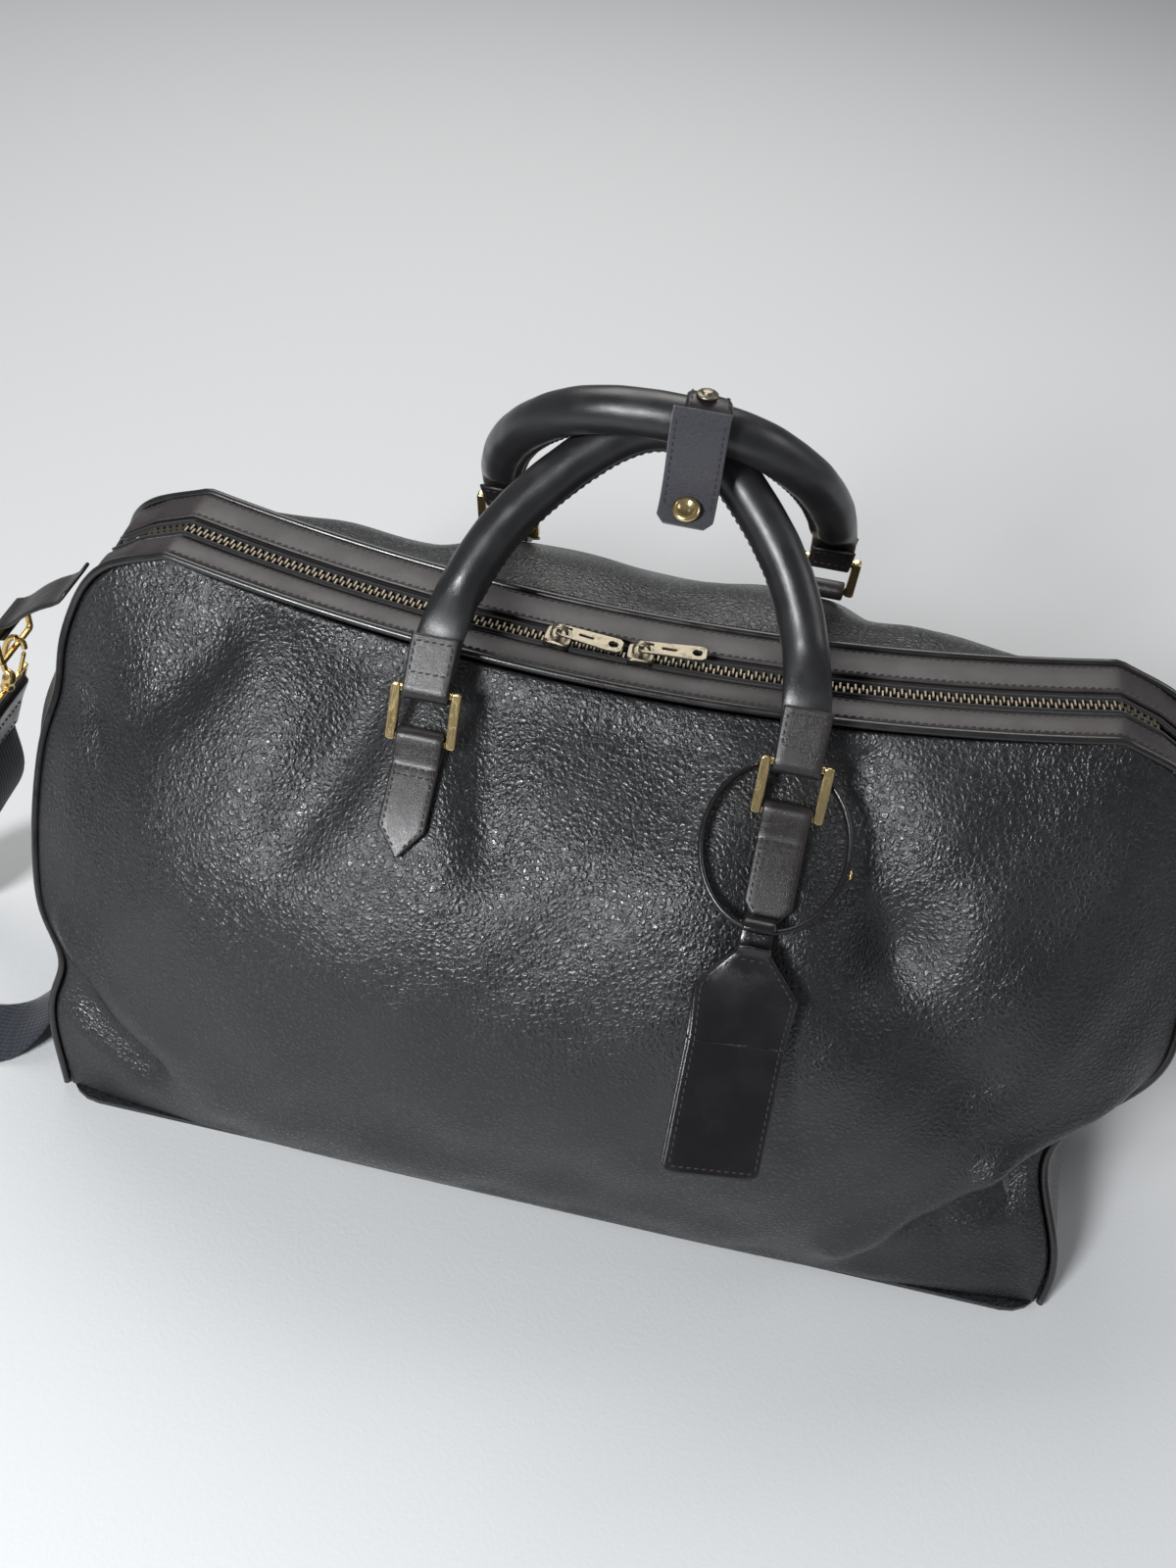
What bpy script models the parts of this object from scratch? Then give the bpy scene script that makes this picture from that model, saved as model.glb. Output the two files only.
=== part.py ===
"""Weekender bag: soft leather holdall with a full-length top zip, two rolled handles on
rectangular rings, a luggage tag, a handle keeper and a detachable webbing shoulder strap.

Frame: +X runs along the bag (right), +Y to the back, +Z up. The origin is the middle of the
underside of the base. All lengths are metres.
"""
import math

import bpy
import numpy as np

# ---------------------------------------------------------------- driving dimensions
GAP = 0.0003              # running gap between touching pieces
LEATHER = 0.0024          # body panel thickness
TRIM = 0.0018             # chapes, tabs, strips
PIPING_R = 0.0020
BAND = (0.024, 0.029)     # zip's middle to the front and to the back piping
CHAIN_HALF = 0.0032       # half width of the interlocked teeth
HANDLE_X = 0.080          # half spacing of a handle's rings
HANDLE_R = 0.0098         # rolled handle radius
CORE_R = 0.0074
HANDLE_DROP = 0.129       # ring's upper bar to the middle of the handle at its top
RING_W, RING_H = 0.0295, 0.0250
RING_BAR = 0.0030
CHAPE_W, CHAPE_LEN = 0.0210, 0.051
BAR_DOWN = (0.044, 0.068) # lower bars' distance down the faces from the top band's pipings
RING_TILT = (25.0, -16.0) # front and back rings, degrees from upright, positive to the back
HANDLE_LEAN = (44.0, -35.5)
WEBBING_W, WEBBING_T = 0.038, 0.0016
END_X, END_TAB_Z = 0.3080, 0.2130       # where an end ring's upper bar sits

# half outline seen from the front: (half length, height) from base corner to top corner
SIDE = [(0.258, 0.0034), (0.2640, 0.045), (0.271, 0.095), (0.2755, 0.145), (0.274, 0.190),
        (0.265, 0.236), (0.247, 0.266), (0.214, 0.2805)]
SEAM_FRONT = [-0.137, -0.127, -0.106, -0.083, -0.058, -0.036, -0.030, -0.029]
SEAM_BACK = [0.134, 0.124, 0.104, 0.082, 0.059, 0.036, 0.025, 0.024]
# sections through the middle, (depth, height) from the base edge to the top band
MID_FRONT = [(-0.147, 0.0034), (-0.156, 0.036), (-0.161, 0.080), (-0.158, 0.128),
             (-0.143, 0.175), (-0.115, 0.215), (-0.080, 0.244), (-0.043, 0.2675)]
MID_BACK = [(0.143, 0.0034), (0.153, 0.036), (0.160, 0.080), (0.158, 0.130),
            (0.145, 0.176), (0.117, 0.217), (0.082, 0.245), (0.045, 0.2655), (0.010, 0.2675)]
ZIP_SAG = (0.014, 0.013)  # how far the zip bows forward and down in its middle
BASE_X, BASE_Y = 0.260, 0.144
END_BULGE = [0.003, 0.010, 0.017, 0.021, 0.020, 0.014, 0.003]

COLOURS = {
    "hide": ((0.020, 0.021, 0.023), 0.48, 0.0),
    "smooth": ((0.016, 0.013, 0.013), 0.38, 0.0),
    "edge": ((0.010, 0.010, 0.011), 0.25, 0.0),
    "brass": ((0.72, 0.52, 0.20), 0.24, 1.0),
    "antique": ((0.42, 0.34, 0.20), 0.34, 1.0),
    "lining": ((0.05, 0.05, 0.055), 0.85, 0.0),
    "webbing": ((0.012, 0.014, 0.022), 0.8, 0.0),
    "board": ((0.18, 0.14, 0.10), 0.8, 0.0),
    "suede": ((0.024, 0.022, 0.030), 0.95, 0.0),
}


# ---------------------------------------------------------------- helpers
def material(name):
    mat = bpy.data.materials.get(name)
    if mat is None:
        colour, rough, metal = COLOURS[name]
        mat = bpy.data.materials.new(name)
        mat.use_nodes = True
        bsdf = mat.node_tree.nodes["Principled BSDF"]
        bsdf.inputs["Base Color"].default_value = (*colour, 1.0)
        bsdf.inputs["Roughness"].default_value = rough
        bsdf.inputs["Metallic"].default_value = metal
    return mat


def node(name, verts, faces, look, origin=(0, 0, 0), smooth=40):
    """One named object; its origin sits on `origin`, which is its joint axis if it moves."""
    origin = np.asarray(origin, float)
    mesh = bpy.data.meshes.new(name)
    mesh.from_pydata([tuple(np.asarray(v, float) - origin) for v in verts], [], faces)
    mesh.validate()
    obj = bpy.data.objects.new(name, mesh)
    obj.location = origin
    mesh.materials.append(material(look).copy())
    mesh.materials[0].name = name + "_" + look
    bpy.context.scene.collection.objects.link(obj)
    if smooth:
        mesh.shade_smooth()
        mesh.set_sharp_from_angle(angle=math.radians(smooth))
    return obj


def spline(points, count):
    """count + 1 points at even spacing along a Catmull-Rom curve through `points`."""
    p = np.asarray(points, float)
    p = np.vstack([2 * p[0] - p[1], p, 2 * p[-1] - p[-2]])
    fine = []
    for a, b, c, d in zip(p, p[1:], p[2:], p[3:]):
        for t in np.linspace(0, 1, 24, endpoint=False):
            fine.append(0.5 * (2 * b + (c - a) * t + (2 * a - 5 * b + 4 * c - d) * t ** 2
                               + (3 * b - a - 3 * c + d) * t ** 3))
    fine = np.array(fine + [p[-2]])
    run = np.concatenate([[0], np.cumsum(np.linalg.norm(np.diff(fine, axis=0), axis=1))])
    at = np.linspace(0, run[-1], count + 1)
    return np.stack([np.interp(at, run, fine[:, k]) for k in range(fine.shape[1])], axis=1)


def unit(v):
    return v / np.linalg.norm(v, axis=-1, keepdims=True)


def grid_normals(grid):
    return unit(np.cross(np.gradient(grid, axis=0), np.gradient(grid, axis=1)))


def shell(grid, thickness, lift=0.0, flip=False):
    """Closed thin solid under a grid of outer points; the grid's normals point outward."""
    normals = grid_normals(grid) * (-1 if flip else 1)
    outer = grid + normals * lift
    inner = outer - normals * thickness
    rows, cols = grid.shape[:2]
    verts = np.vstack([outer.reshape(-1, 3), inner.reshape(-1, 3)])
    below = rows * cols
    faces = []
    for i in range(rows - 1):
        for j in range(cols - 1):
            a, b = i * cols + j, (i + 1) * cols + j
            faces.append((a, b, b + 1, a + 1))
            faces.append((a + below + 1, b + below + 1, b + below, a + below))
    rim = ([i * cols for i in range(rows)] + [(rows - 1) * cols + j for j in range(1, cols)]
           + [i * cols + cols - 1 for i in range(rows - 2, -1, -1)]
           + [j for j in range(cols - 2, 0, -1)])
    for a, b in zip(rim, rim[1:] + rim[:1]):
        faces.append((b, a, a + below, b + below))
    if flip:
        faces = [tuple(reversed(f)) for f in faces]
    return verts, faces


def sweep(path, across, up, outline, closed=False):
    """Solid with `outline` (u, v) placed along a path on the axes `across` and `up`."""
    count, sides = len(path), len(outline[0])
    verts = [path[i] + u * across[i] + v * up[i] for i in range(count) for u, v in outline[i]]
    faces = []
    for i in range(count if closed else count - 1):
        k = (i + 1) % count
        for s in range(sides):
            n = (s + 1) % sides
            faces.append((i * sides + s, i * sides + n, k * sides + n, k * sides + s))
    if not closed:
        faces.append(tuple(reversed(range(sides))))
        faces.append(tuple((count - 1) * sides + s for s in range(sides)))
    return verts, faces


def frames(path, across):
    """Unit axes along a path: `across` made square to the path, and the third one."""
    along = unit(np.gradient(path, axis=0))
    across = np.broadcast_to(np.asarray(across, float), path.shape)
    across = unit(across - along * np.sum(along * across, axis=1, keepdims=True))
    return across, np.cross(along, across)


def circle(radius, sides):
    turn = 2 * math.pi / sides
    return [(radius * math.cos(turn * (k + 0.5)), radius * math.sin(turn * (k + 0.5)))
            for k in range(sides)]


def tube(path, radius, sides, across=(0, 1, 0), closed=False):
    path = np.asarray(path, float)
    if closed:
        along = unit(np.roll(path, -1, axis=0) - np.roll(path, 1, axis=0))
        across = np.broadcast_to(np.asarray(across, float), path.shape)
        a = unit(across - along * np.sum(along * across, axis=1, keepdims=True))
        b = np.cross(along, a)
    else:
        a, b = frames(path, across)
    return sweep(path, a, b, [circle(radius, sides)] * len(path), closed)


def strap(path, across, width, thickness, widths=None):
    """Flat strip with its width along `across`."""
    path = np.asarray(path, float)
    a, b = frames(path, across)
    outline = []
    for i in range(len(path)):
        w = (width if widths is None else widths[i]) / 2
        t = thickness / 2
        outline.append([(-w, -t), (w, -t), (w, t), (-w, t)])
    return sweep(path, a, b, outline)


def cylinder(centre, axis, radius, length, sides=16, across=(0, 1, 0)):
    centre, axis = np.asarray(centre, float), unit(np.asarray(axis, float))
    path = np.array([centre - axis * length / 2, centre + axis * length / 2])
    return tube(path, radius, sides, across)


def frame_ring(centre, right, up, width, height, bar, depth):
    """Rectangular ring: bars `bar` wide in its own plane and `depth` deep."""
    centre = np.asarray(centre, float)
    right, up = unit(np.asarray(right, float)), unit(np.asarray(up, float))
    out = np.cross(right, up)
    verts = []
    for half_w, half_h in ((width / 2, height / 2), (width / 2 - bar, height / 2 - bar)):
        for sx, sz in ((-1, -1), (1, -1), (1, 1), (-1, 1)):
            for side in (-1, 1):
                verts.append(centre + right * sx * half_w + up * sz * half_h
                             + out * side * depth / 2)
    faces = []
    for k in range(4):
        n = (k + 1) % 4
        o0, o1, p0, p1 = 2 * k, 2 * k + 1, 2 * n, 2 * n + 1
        faces.append((o0, p0, p1, o1))
        faces.append((o0 + 8, o1 + 8, p1 + 8, p0 + 8))
        faces.append((o1, p1, p1 + 8, o1 + 8))
        faces.append((o0, o0 + 8, p0 + 8, p0))
    return verts, faces


# ---------------------------------------------------------------- body surfaces
STEPS_UP, STEPS_ALONG = 16, 18
BAND_FROM = STEPS_UP - 3  # the top band starts this far up the corner seams


def seam(side, depth, count=STEPS_UP):
    """Corner seam from the base to the top corner, on the side -1 or +1."""
    xz = np.array(SIDE)
    return spline(np.stack([side * xz[:, 0], np.array(depth), xz[:, 1]], 1), count)


def inset_edges(grid, distance):
    """Draw the two ends and the top edge of a face grid in by `distance`, along the face."""
    along, up = grid.shape[0] - 1, grid.shape[1] - 1
    index = ([(0, j) for j in range(up + 1)] + [(i, up) for i in range(1, along)]
             + [(along, j) for j in range(up, -1, -1)])
    path = np.array([grid[i, j] for i, j in index])
    tangent = unit(np.gradient(path, axis=0))
    inner = np.array([grid[min(max(i, 2), along - 2), min(j, up - 2)] for i, j in index])
    pull = inner - path
    pull = unit(pull - tangent * np.sum(pull * tangent, axis=1, keepdims=True))
    pull[0, 2] = pull[-1, 2] = 0.0
    moved = grid.copy()
    for (i, j), p, d in zip(index, path, pull):
        moved[i, j] = p + d * distance
    return moved


def face_grid(depth, mid, reach=1.0, up=STEPS_UP, along=STEPS_ALONG):
    """Outer surface of the front or back face; `reach` trims its two ends."""
    corner = seam(1, depth, up)
    middle = spline(mid, up)
    grid = []
    for s in np.linspace(-reach, reach, along + 1):
        row = []
        for j in range(up + 1):
            w = 1 - abs(s) ** (3.6 - 1.6 * (j / up) ** 2)
            x = s * corner[j, 0]
            y = corner[j, 1] * (1 - w) + middle[j, 0] * w
            z = corner[j, 2] * (1 - w) + middle[j, 1] * w
            row.append((x, y, z))
        grid.append(row)
    return np.array(grid)


def make_body():
    outline = []
    corner, steps = 0.022, 5
    for cx, cy, first in ((1, 1, 0), (-1, 1, 90), (-1, -1, 180), (1, -1, 270)):
        for k in range(steps + 1):
            turn = math.radians(first + 90 * k / steps)
            outline.append((cx * (BASE_X - corner) + corner * math.cos(turn),
                            cy * (BASE_Y - corner) + corner * math.sin(turn)))
    count = len(outline)

    def plate(name, scale_x, scale_y, low, high, look):
        verts = [(x * scale_x, y * scale_y, z) for z in (low, high) for x, y in outline]
        faces = [tuple(reversed(range(count))), tuple(range(count, 2 * count))]
        faces += [(k, (k + 1) % count, count + (k + 1) % count, count + k)
                  for k in range(count)]
        node(name, verts, faces, look)

    plate("base_panel", 1.0, 1.0, 0.0, 0.0030, "hide")
    plate("base_board", 0.95, 0.92, 0.0033, 0.0063, "board")

    for name, depth, mid, flip in (("front", SEAM_FRONT, MID_FRONT, False),
                                   ("back", SEAM_BACK, MID_BACK, True)):
        grid = inset_edges(face_grid(depth, mid), PIPING_R + GAP + 0.0012)
        node(name + "_panel", *shell(grid, LEATHER, flip=flip), "hide")
        lining = face_grid(depth, mid, reach=0.93)[:, 1:-1]
        node(name + "_lining", *shell(lining, 0.0008, lift=-0.0080, flip=flip), "lining")
        edge = face_grid(depth, mid)
        path = np.vstack([edge[0], edge[1:-1, -1], edge[-1][::-1]])
        path[0, 2] = path[-1, 2] = PIPING_R + 0.0014
        node(name + "_piping", *tube(path, PIPING_R, 6, across=(0, 1, 0)), "edge")

    for side, name in ((-1, "left"), (1, "right")):
        front = seam(side, SEAM_FRONT)[: BAND_FROM]
        back = seam(side, SEAM_BACK)[: BAND_FROM]
        bulge = np.interp(np.linspace(0, 1, len(front)), np.linspace(0, 1, len(END_BULGE)),
                          END_BULGE)
        rows = []
        for f, b, out in zip(front, back, bulge):
            middle, half = (f + b) / 2, (b[1] - f[1]) / 2
            reach = 1 - (PIPING_R + GAP + 0.0001) / half
            rows.append([middle + (b - f) / 2 * q + np.array([side * out * (1 - q * q), 0, 0])
                         for q in np.linspace(-reach, reach, 9)])
        rows = np.array(rows)
        node("end_panel_" + name, *shell(rows, LEATHER, flip=side > 0), "hide")


def zip_point(x, offset=0.0):
    """Point on the top band at `x`, `offset` behind the zip's middle line."""
    bow = (x / SIDE[-1][0]) ** 2
    return np.array([x, SEAM_FRONT[-1] + BAND[0] - ZIP_SAG[0] * (1 - bow) + offset,
                     SIDE[-1][1] - ZIP_SAG[1] * (1 - bow)])


def band_path(offset):
    """Line along the top band at a depth `offset` from the zip, over both top corners."""
    front, back = seam(1, SEAM_FRONT)[BAND_FROM:-1], seam(1, SEAM_BACK)[BAND_FROM:-1]
    middle = front + (back - front) * BAND[0] / sum(BAND)
    spread = (back - front)[:, 1] / sum(BAND)
    right = [(p[0], p[1] + offset * k, p[2]) for p, k in zip(middle, spread)]
    left = [(-x, y, z) for x, y, z in right]
    flat = [zip_point(x, offset) for x in np.linspace(-1, 1, STEPS_ALONG + 1) * SIDE[-1][0]]
    return np.array(left + flat + right[::-1])


def make_top():
    for name, sign in (("front", -1), ("back", 1)):
        def strip(near, far, lift, thick, look, ends, part):
            lines = [band_path(sign * near), band_path(sign * far)]
            grid = np.stack(lines if sign > 0 else lines[::-1], 1)[ends:len(lines[0]) - ends]
            node(f"{name}_{part}", *shell(grid, thick, lift=lift), look)

        strip(0.0085, BAND[sign > 0] - PIPING_R - GAP - 0.0002, 0.0004, TRIM, "smooth", 0, "top_strip")
        strip(CHAIN_HALF + GAP, 0.0160, 0.0004 - TRIM - GAP, 0.0007, "webbing", 1, "zip_tape")
        strip(GAP / 2, CHAIN_HALF, -0.0003, 0.0024, "antique", 2, "zip_chain")


# ---------------------------------------------------------------- rings, chapes, handles
X_AXIS = np.array([1.0, 0.0, 0.0])
WRAP = RING_BAR * 0.71 + GAP + TRIM / 2 + 0.0004     # leather's mid line round a ring's bar


def lean(angle):
    """Unit direction in the depth-height plane, leaning to the back by `angle` degrees."""
    turn = math.radians(angle)
    return np.array([0.0, math.sin(turn), math.cos(turn)])


def face(end):
    return face_grid(SEAM_FRONT, MID_FRONT) if end == 0 else face_grid(SEAM_BACK, MID_BACK)


def slope_profile(grid, x, length, count, sign):
    """Points down a face at `x`, with the outward directions there."""
    profile = np.array([[np.interp(x, grid[:, j, 0], grid[:, j, k]) for k in range(3)]
                        for j in range(grid.shape[1])])[::-1]
    profile = spline(profile, 160)
    run = np.concatenate([[0], np.cumsum(np.linalg.norm(np.diff(profile, axis=0), axis=1))])
    at = np.linspace(0, length, count + 1)
    points = np.stack([np.interp(at, run, profile[:, k]) for k in range(3)], 1)
    points[:, 0] = x
    out = unit(np.cross(X_AXIS, np.gradient(points, axis=0))) * sign
    return points, out


def lower_bar(end):
    """Middle of a ring's lower bar, standing off the face by the folded leather."""
    sign = -1 if end == 0 else 1
    points, out = slope_profile(face(end), HANDLE_X, 0.14, 140, sign)
    k = int(round(BAR_DOWN[end] / 0.001))
    bar = points[k] + out[k] * (GAP + TRIM / 2 + WRAP + 0.0006)
    bar[0] = 0
    return bar


def upper_bar(end):
    return lower_bar(end) + lean(RING_TILT[end]) * (RING_H - RING_BAR)


def make_chape(name, x, end):
    """Leather tab folded round a ring's lower bar and sewn down the face, pointed at the end."""
    sign = -1 if end == 0 else 1
    points, out = slope_profile(face(end), x, 0.16, 160, sign)
    bar = lower_bar(end)
    bar[0] = x
    k = int(round(BAR_DOWN[end] / 0.001))
    low, high = GAP + TRIM / 2 + 0.0005, GAP * 2 + TRIM * 1.5 + 0.0008
    path = [points[k + d] + out[k + d] * low for d in (13, 9, 5)]
    down = unit(points[k + 1] - points[k - 1])
    for turn in np.radians([-90, -135, 180, 135, 90]):
        path.append(bar + WRAP * (down * math.cos(turn) + out[k] * math.sin(turn)))
    path += [points[k + 6] + out[k + 6] * (high + 0.0022),
             points[k + 11] + out[k + 11] * high]
    last = k + int(CHAPE_LEN * 1000)
    path += [points[d] + out[d] * high for d in range(k + 15, last, 6)]
    path.append(points[last] + out[last] * high)
    path = np.array(path)
    path[:, 0] = x
    run = np.concatenate([[0], np.cumsum(np.linalg.norm(np.diff(path, axis=0), axis=1))])
    widths = CHAPE_W * np.clip(0.30 + (run[-1] - run) / 0.016 * 0.70, 0, 1)
    node(name, *strap(path, X_AXIS, CHAPE_W, TRIM, widths), "smooth")


# a handle's centre line in its own plane: (half spacing, distance from the ring's upper bar)
HANDLE_LINES = ([(0.0800, 0.0060), (0.0790, 0.0240), (0.0730, 0.050), (0.0610, 0.077),
                 (0.0420, 0.102), (0.0200, 0.1220), (0.0, HANDLE_DROP)],
                [(0.0800, 0.0060), (0.0795, 0.0240), (0.0770, 0.050), (0.0700, 0.076),
                 (0.0560, 0.101), (0.0330, 0.1220), (0.0, HANDLE_DROP)])
FLAT = 0.0245             # length of a handle's flattened end inside its tab


def handle_line(end, count):
    half = HANDLE_LINES[end]
    line = [(-x, h) for x, h in half] + [(x, h) for x, h in half[-2::-1]]
    pivot, up = upper_bar(end), lean(HANDLE_LEAN[end])
    return np.array([pivot + X_AXIS * x + up * h for x, h in spline(line, count)])


def oval(width, height, sides):
    turn = 2 * math.pi / sides
    return [(width * math.cos(turn * (k + 0.5)), height * math.sin(turn * (k + 0.5)))
            for k in range(sides)]


def make_handle(end, name):
    """Rolled sleeve with flattened ends, and the rope core in its round part."""
    count, sides = 26, 8
    path = handle_line(end, count)
    pivot, up = upper_bar(end), lean(HANDLE_LEAN[end])
    normal = np.cross(X_AXIS, up)
    along = unit(np.gradient(path, axis=0))
    out = np.broadcast_to(normal, path.shape)
    side = np.cross(out, along)
    height = (path - pivot) @ up
    grow = np.clip((height - FLAT) / 0.026, 0, 1)
    grow = grow * grow * (3 - 2 * grow)
    rings = []
    for wall in (0.0, 0.0016):
        rings.append([oval((0.0104 * (1 - g) + HANDLE_R * g) - wall,
                           (0.0021 * (1 - g) + HANDLE_R * g) - wall, sides) for g in grow])
    outer, faces = sweep(path, side, out, rings[0])
    inner, _ = sweep(path, side, out, rings[1])
    faces = faces[:-2]
    shift = len(outer)
    faces += [tuple(v + shift for v in reversed(f)) for f in faces]
    for start, flip in ((0, False), (count * sides, True)):
        for k in range(sides):
            n = (k + 1) % sides
            quad = (start + n, start + k, start + k + shift, start + n + shift)
            faces.append(tuple(reversed(quad)) if flip else quad)
    node(name, list(outer) + list(inner), faces, "smooth", origin=pivot)
    core = path[(height > FLAT + 0.030)]
    a, b = frames(core, normal)
    node(name + "_core", *sweep(core, a, b, [circle(CORE_R, 8)] * len(core)), "webbing",
         origin=pivot)
    for sx, side_name in ((-1, "left"), (1, "right")):
        path = [pivot + normal * WRAP + up * h for h in (0.0235, 0.012, 0.002)]
        for turn in np.radians([0, -45, -90, -135, 180]):
            path.append(pivot + WRAP * (normal * math.cos(turn) + up * math.sin(turn)))
        path += [pivot - normal * WRAP + up * h for h in (0.002, 0.012, 0.0235)]
        path = np.array(path) + X_AXIS * sx * HANDLE_X
        node(f"{name}_tab_{side_name}", *strap(path, X_AXIS, CHAPE_W, TRIM), "smooth",
             origin=pivot)


def make_carriers():
    for end, name in ((0, "front"), (1, "back")):
        low, up = lower_bar(end), lean(RING_TILT[end])
        for sx, side in ((-1, "left"), (1, "right")):
            centre = low + up * (RING_H - RING_BAR) / 2 + X_AXIS * sx * HANDLE_X
            make_chape(f"{name}_chape_{side}", sx * HANDLE_X, end)
            node(f"{name}_ring_{side}",
                 *frame_ring(centre, X_AXIS, up, RING_W, RING_H, RING_BAR, 0.0030), "brass",
                 origin=low + X_AXIS * sx * HANDLE_X, smooth=0)
        make_handle(end, name + "_handle")


# ---------------------------------------------------------------- keeper on the back handle
KEEPER_X, KEEPER_W = 0.016, 0.0225


def make_keeper():
    line = handle_line(1, 56)
    line = line[np.abs(line[:, 0] - KEEPER_X) < KEEPER_W / 2]
    path = spline(line, 4)
    a, b = frames(path, (0, 1, 0))
    sides = 12
    outer, faces = sweep(path, a, b, [circle(HANDLE_R + GAP + 0.0020, sides)] * 5)
    inner, _ = sweep(path, a, b, [circle(HANDLE_R + GAP + 0.0003, sides)] * 5)
    faces = faces[:-2]
    shift = len(outer)
    faces += [tuple(v + shift for v in reversed(f)) for f in faces]
    for start, flip in ((0, False), (4 * sides, True)):
        for k in range(sides):
            n = (k + 1) % sides
            quad = (start + n, start + k, start + k + shift, start + n + shift)
            faces.append(tuple(reversed(quad)) if flip else quad)
    node("keeper_band", list(outer) + list(inner), faces, "smooth", origin=upper_bar(1))
    mid = path[2]
    up, back = np.array([0, 0, 1.0]), np.array([0, 1.0, 0])
    reach = HANDLE_R + 0.0042
    fold = [(-reach * 0.72, reach * 0.86), (-reach * 0.98, reach * 0.50), (-reach * 1.05, 0.0),
            (-reach * 1.04, -0.010), (-reach * 1.06, -0.019), (-reach * 1.30, -0.0275),
            (-reach * 1.90, -0.0315)]
    axis = mid + back * fold[0][0] + up * fold[0][1]
    path = np.array([mid + back * y + up * z for y, z in spline(fold, 10)])
    node("keeper_flap", *strap(path, X_AXIS, KEEPER_W + 0.001, 0.0017), "suede", origin=axis)
    tip, before = path[-2], path[-3]
    along = unit(path[-1] - before)
    out = np.cross(along, X_AXIS)
    out = out * (1 if out[2] > 0 else -1)
    node("snap_socket", *cylinder(tip - along * 0.001 + out * 0.0040, out, 0.0058, 0.0016, 14,
                                  X_AXIS), "brass", origin=axis)
    stud = unit(np.array([0, 0.02, 1.0]))
    node("snap_stud", *cylinder(mid + stud * (HANDLE_R + 0.0041), stud, 0.0045, 0.0018, 14,
                                X_AXIS), "antique", origin=upper_bar(1))
    return axis


# ---------------------------------------------------------------- luggage tag
TAG_X = 0.0775
TAG_W, TAG_LEN = 0.044, 0.104
HOOP_W, HOOP_T = 0.0056, 0.0024
TAG_TWIST = 22.0          # the tag hangs turned, its left edge further out


def hoop_ends():
    points, out = slope_profile(face(0), TAG_X, 0.14, 140, -1)
    top = points[22] + out[22] * 0.0080
    low = points[93] + out[93] * 0.0125
    return top, low


def tag_turn(down):
    """Angle the tag has turned at a distance below its hoop."""
    t = np.clip((np.asarray(down, float) - 0.010) / 0.040, 0, 1)
    return math.radians(TAG_TWIST) * t * t * (3 - 2 * t)


def make_tag():
    top, low = hoop_ends()
    centre, half = (top + low) / 2, np.linalg.norm(low - top) / 2
    down = unit(low - top)
    normal = unit(np.cross(down, X_AXIS))
    turns = np.linspace(0, 2 * math.pi, 28, endpoint=False)
    path = np.array([centre - down * half * math.cos(t) + X_AXIS * 0.031 * math.sin(t)
                     for t in turns])
    flat = [(-HOOP_W / 2, -HOOP_T / 2), (HOOP_W / 2, -HOOP_T / 2), (HOOP_W / 2, HOOP_T / 2),
            (-HOOP_W / 2, HOOP_T / 2)]
    along = unit(np.roll(path, -1, axis=0) - np.roll(path, 1, axis=0))
    across = np.broadcast_to(normal, path.shape)
    verts, faces = sweep(path, across, np.cross(along, across), [flat] * len(path), closed=True)
    node("tag_hoop", verts, faces, "smooth", origin=top)
    right = centre + X_AXIS * (0.031 + HOOP_T / 2 + GAP + 0.0007) + down * 0.006
    node("tag_rivet", *cylinder(right, X_AXIS, 0.0023, 0.0014, 12, (0, 0, 1)), "brass",
         origin=top)
    wrap = 0.0052
    points, out = slope_profile(face(0), TAG_X, 0.24, 240, -1)
    best = None
    for tilt in np.radians(np.arange(-2, 50, 0.5)):
        way = np.array([0, -math.sin(tilt), -math.cos(tilt)])
        away = np.cross(way, X_AXIS)
        away = away * (1 if away[1] < 0 else -1)
        base = low - away * wrap
        gap = min(np.dot(base + way * d - points[k], out[k])
                  - np.interp(d, (0.008, 0.030), (0.007, TAG_W / 2)) * math.sin(tag_turn(d))
                  for d in np.arange(0.004, TAG_LEN, 0.004)
                  for k in [int(np.argmin(np.linalg.norm(points - base - way * d, axis=1)))])
        if gap > TRIM / 2 + 0.0035:
            best = (way, away)
            break
    way, away = best
    neck = 0.014
    drops = [0.006] + list(np.arange(0.010, 0.051, 0.002)) + [TAG_LEN]
    squeeze = list(np.interp(drops, (0.006, 0.010, 0.017, 0.022),
                             (0.0, 0.0018, 0.0034, 0.0037)))
    layers = []
    for sign in (-1, 1):
        start = low + away * sign * wrap
        layers.append([start + way * d for d in drops])
    for sign, name in ((-1, "back"), (1, "front")):
        path = [p - away * sign * s for p, s in zip(layers[0 if sign < 0 else 1], squeeze)]
        widths = list(np.interp(drops, (0.008, 0.026), (neck, TAG_W)))
        if sign < 0:
            arc = [low + wrap * (away * math.cos(t) - way * math.sin(t))
                   for t in np.radians([5, 45, 90, 135, 175])]
            path = arc + path
            widths = [neck] * 5 + widths
        path = np.array(path)
        turn = tag_turn((path - low) @ way)[:, None]
        across = X_AXIS * np.cos(turn) - away * np.sin(turn)
        path += (away * np.cos(turn) + X_AXIS * np.sin(turn) - away) * sign * (
            wrap - np.array(([0.0] * 5 if sign < 0 else []) + squeeze))[:, None]
        verts, faces = strap(path, across, TAG_W, TRIM, widths)
        node("tag_" + name, verts, faces, "edge", origin=low)
    return top, low


# ---------------------------------------------------------------- zip sliders
SLIDER_X = (-0.034, 0.004)
PULL_LEN, PULL_W = 0.0315, 0.0095
SLIDER_RUN = (0.150, 0.145)


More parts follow.
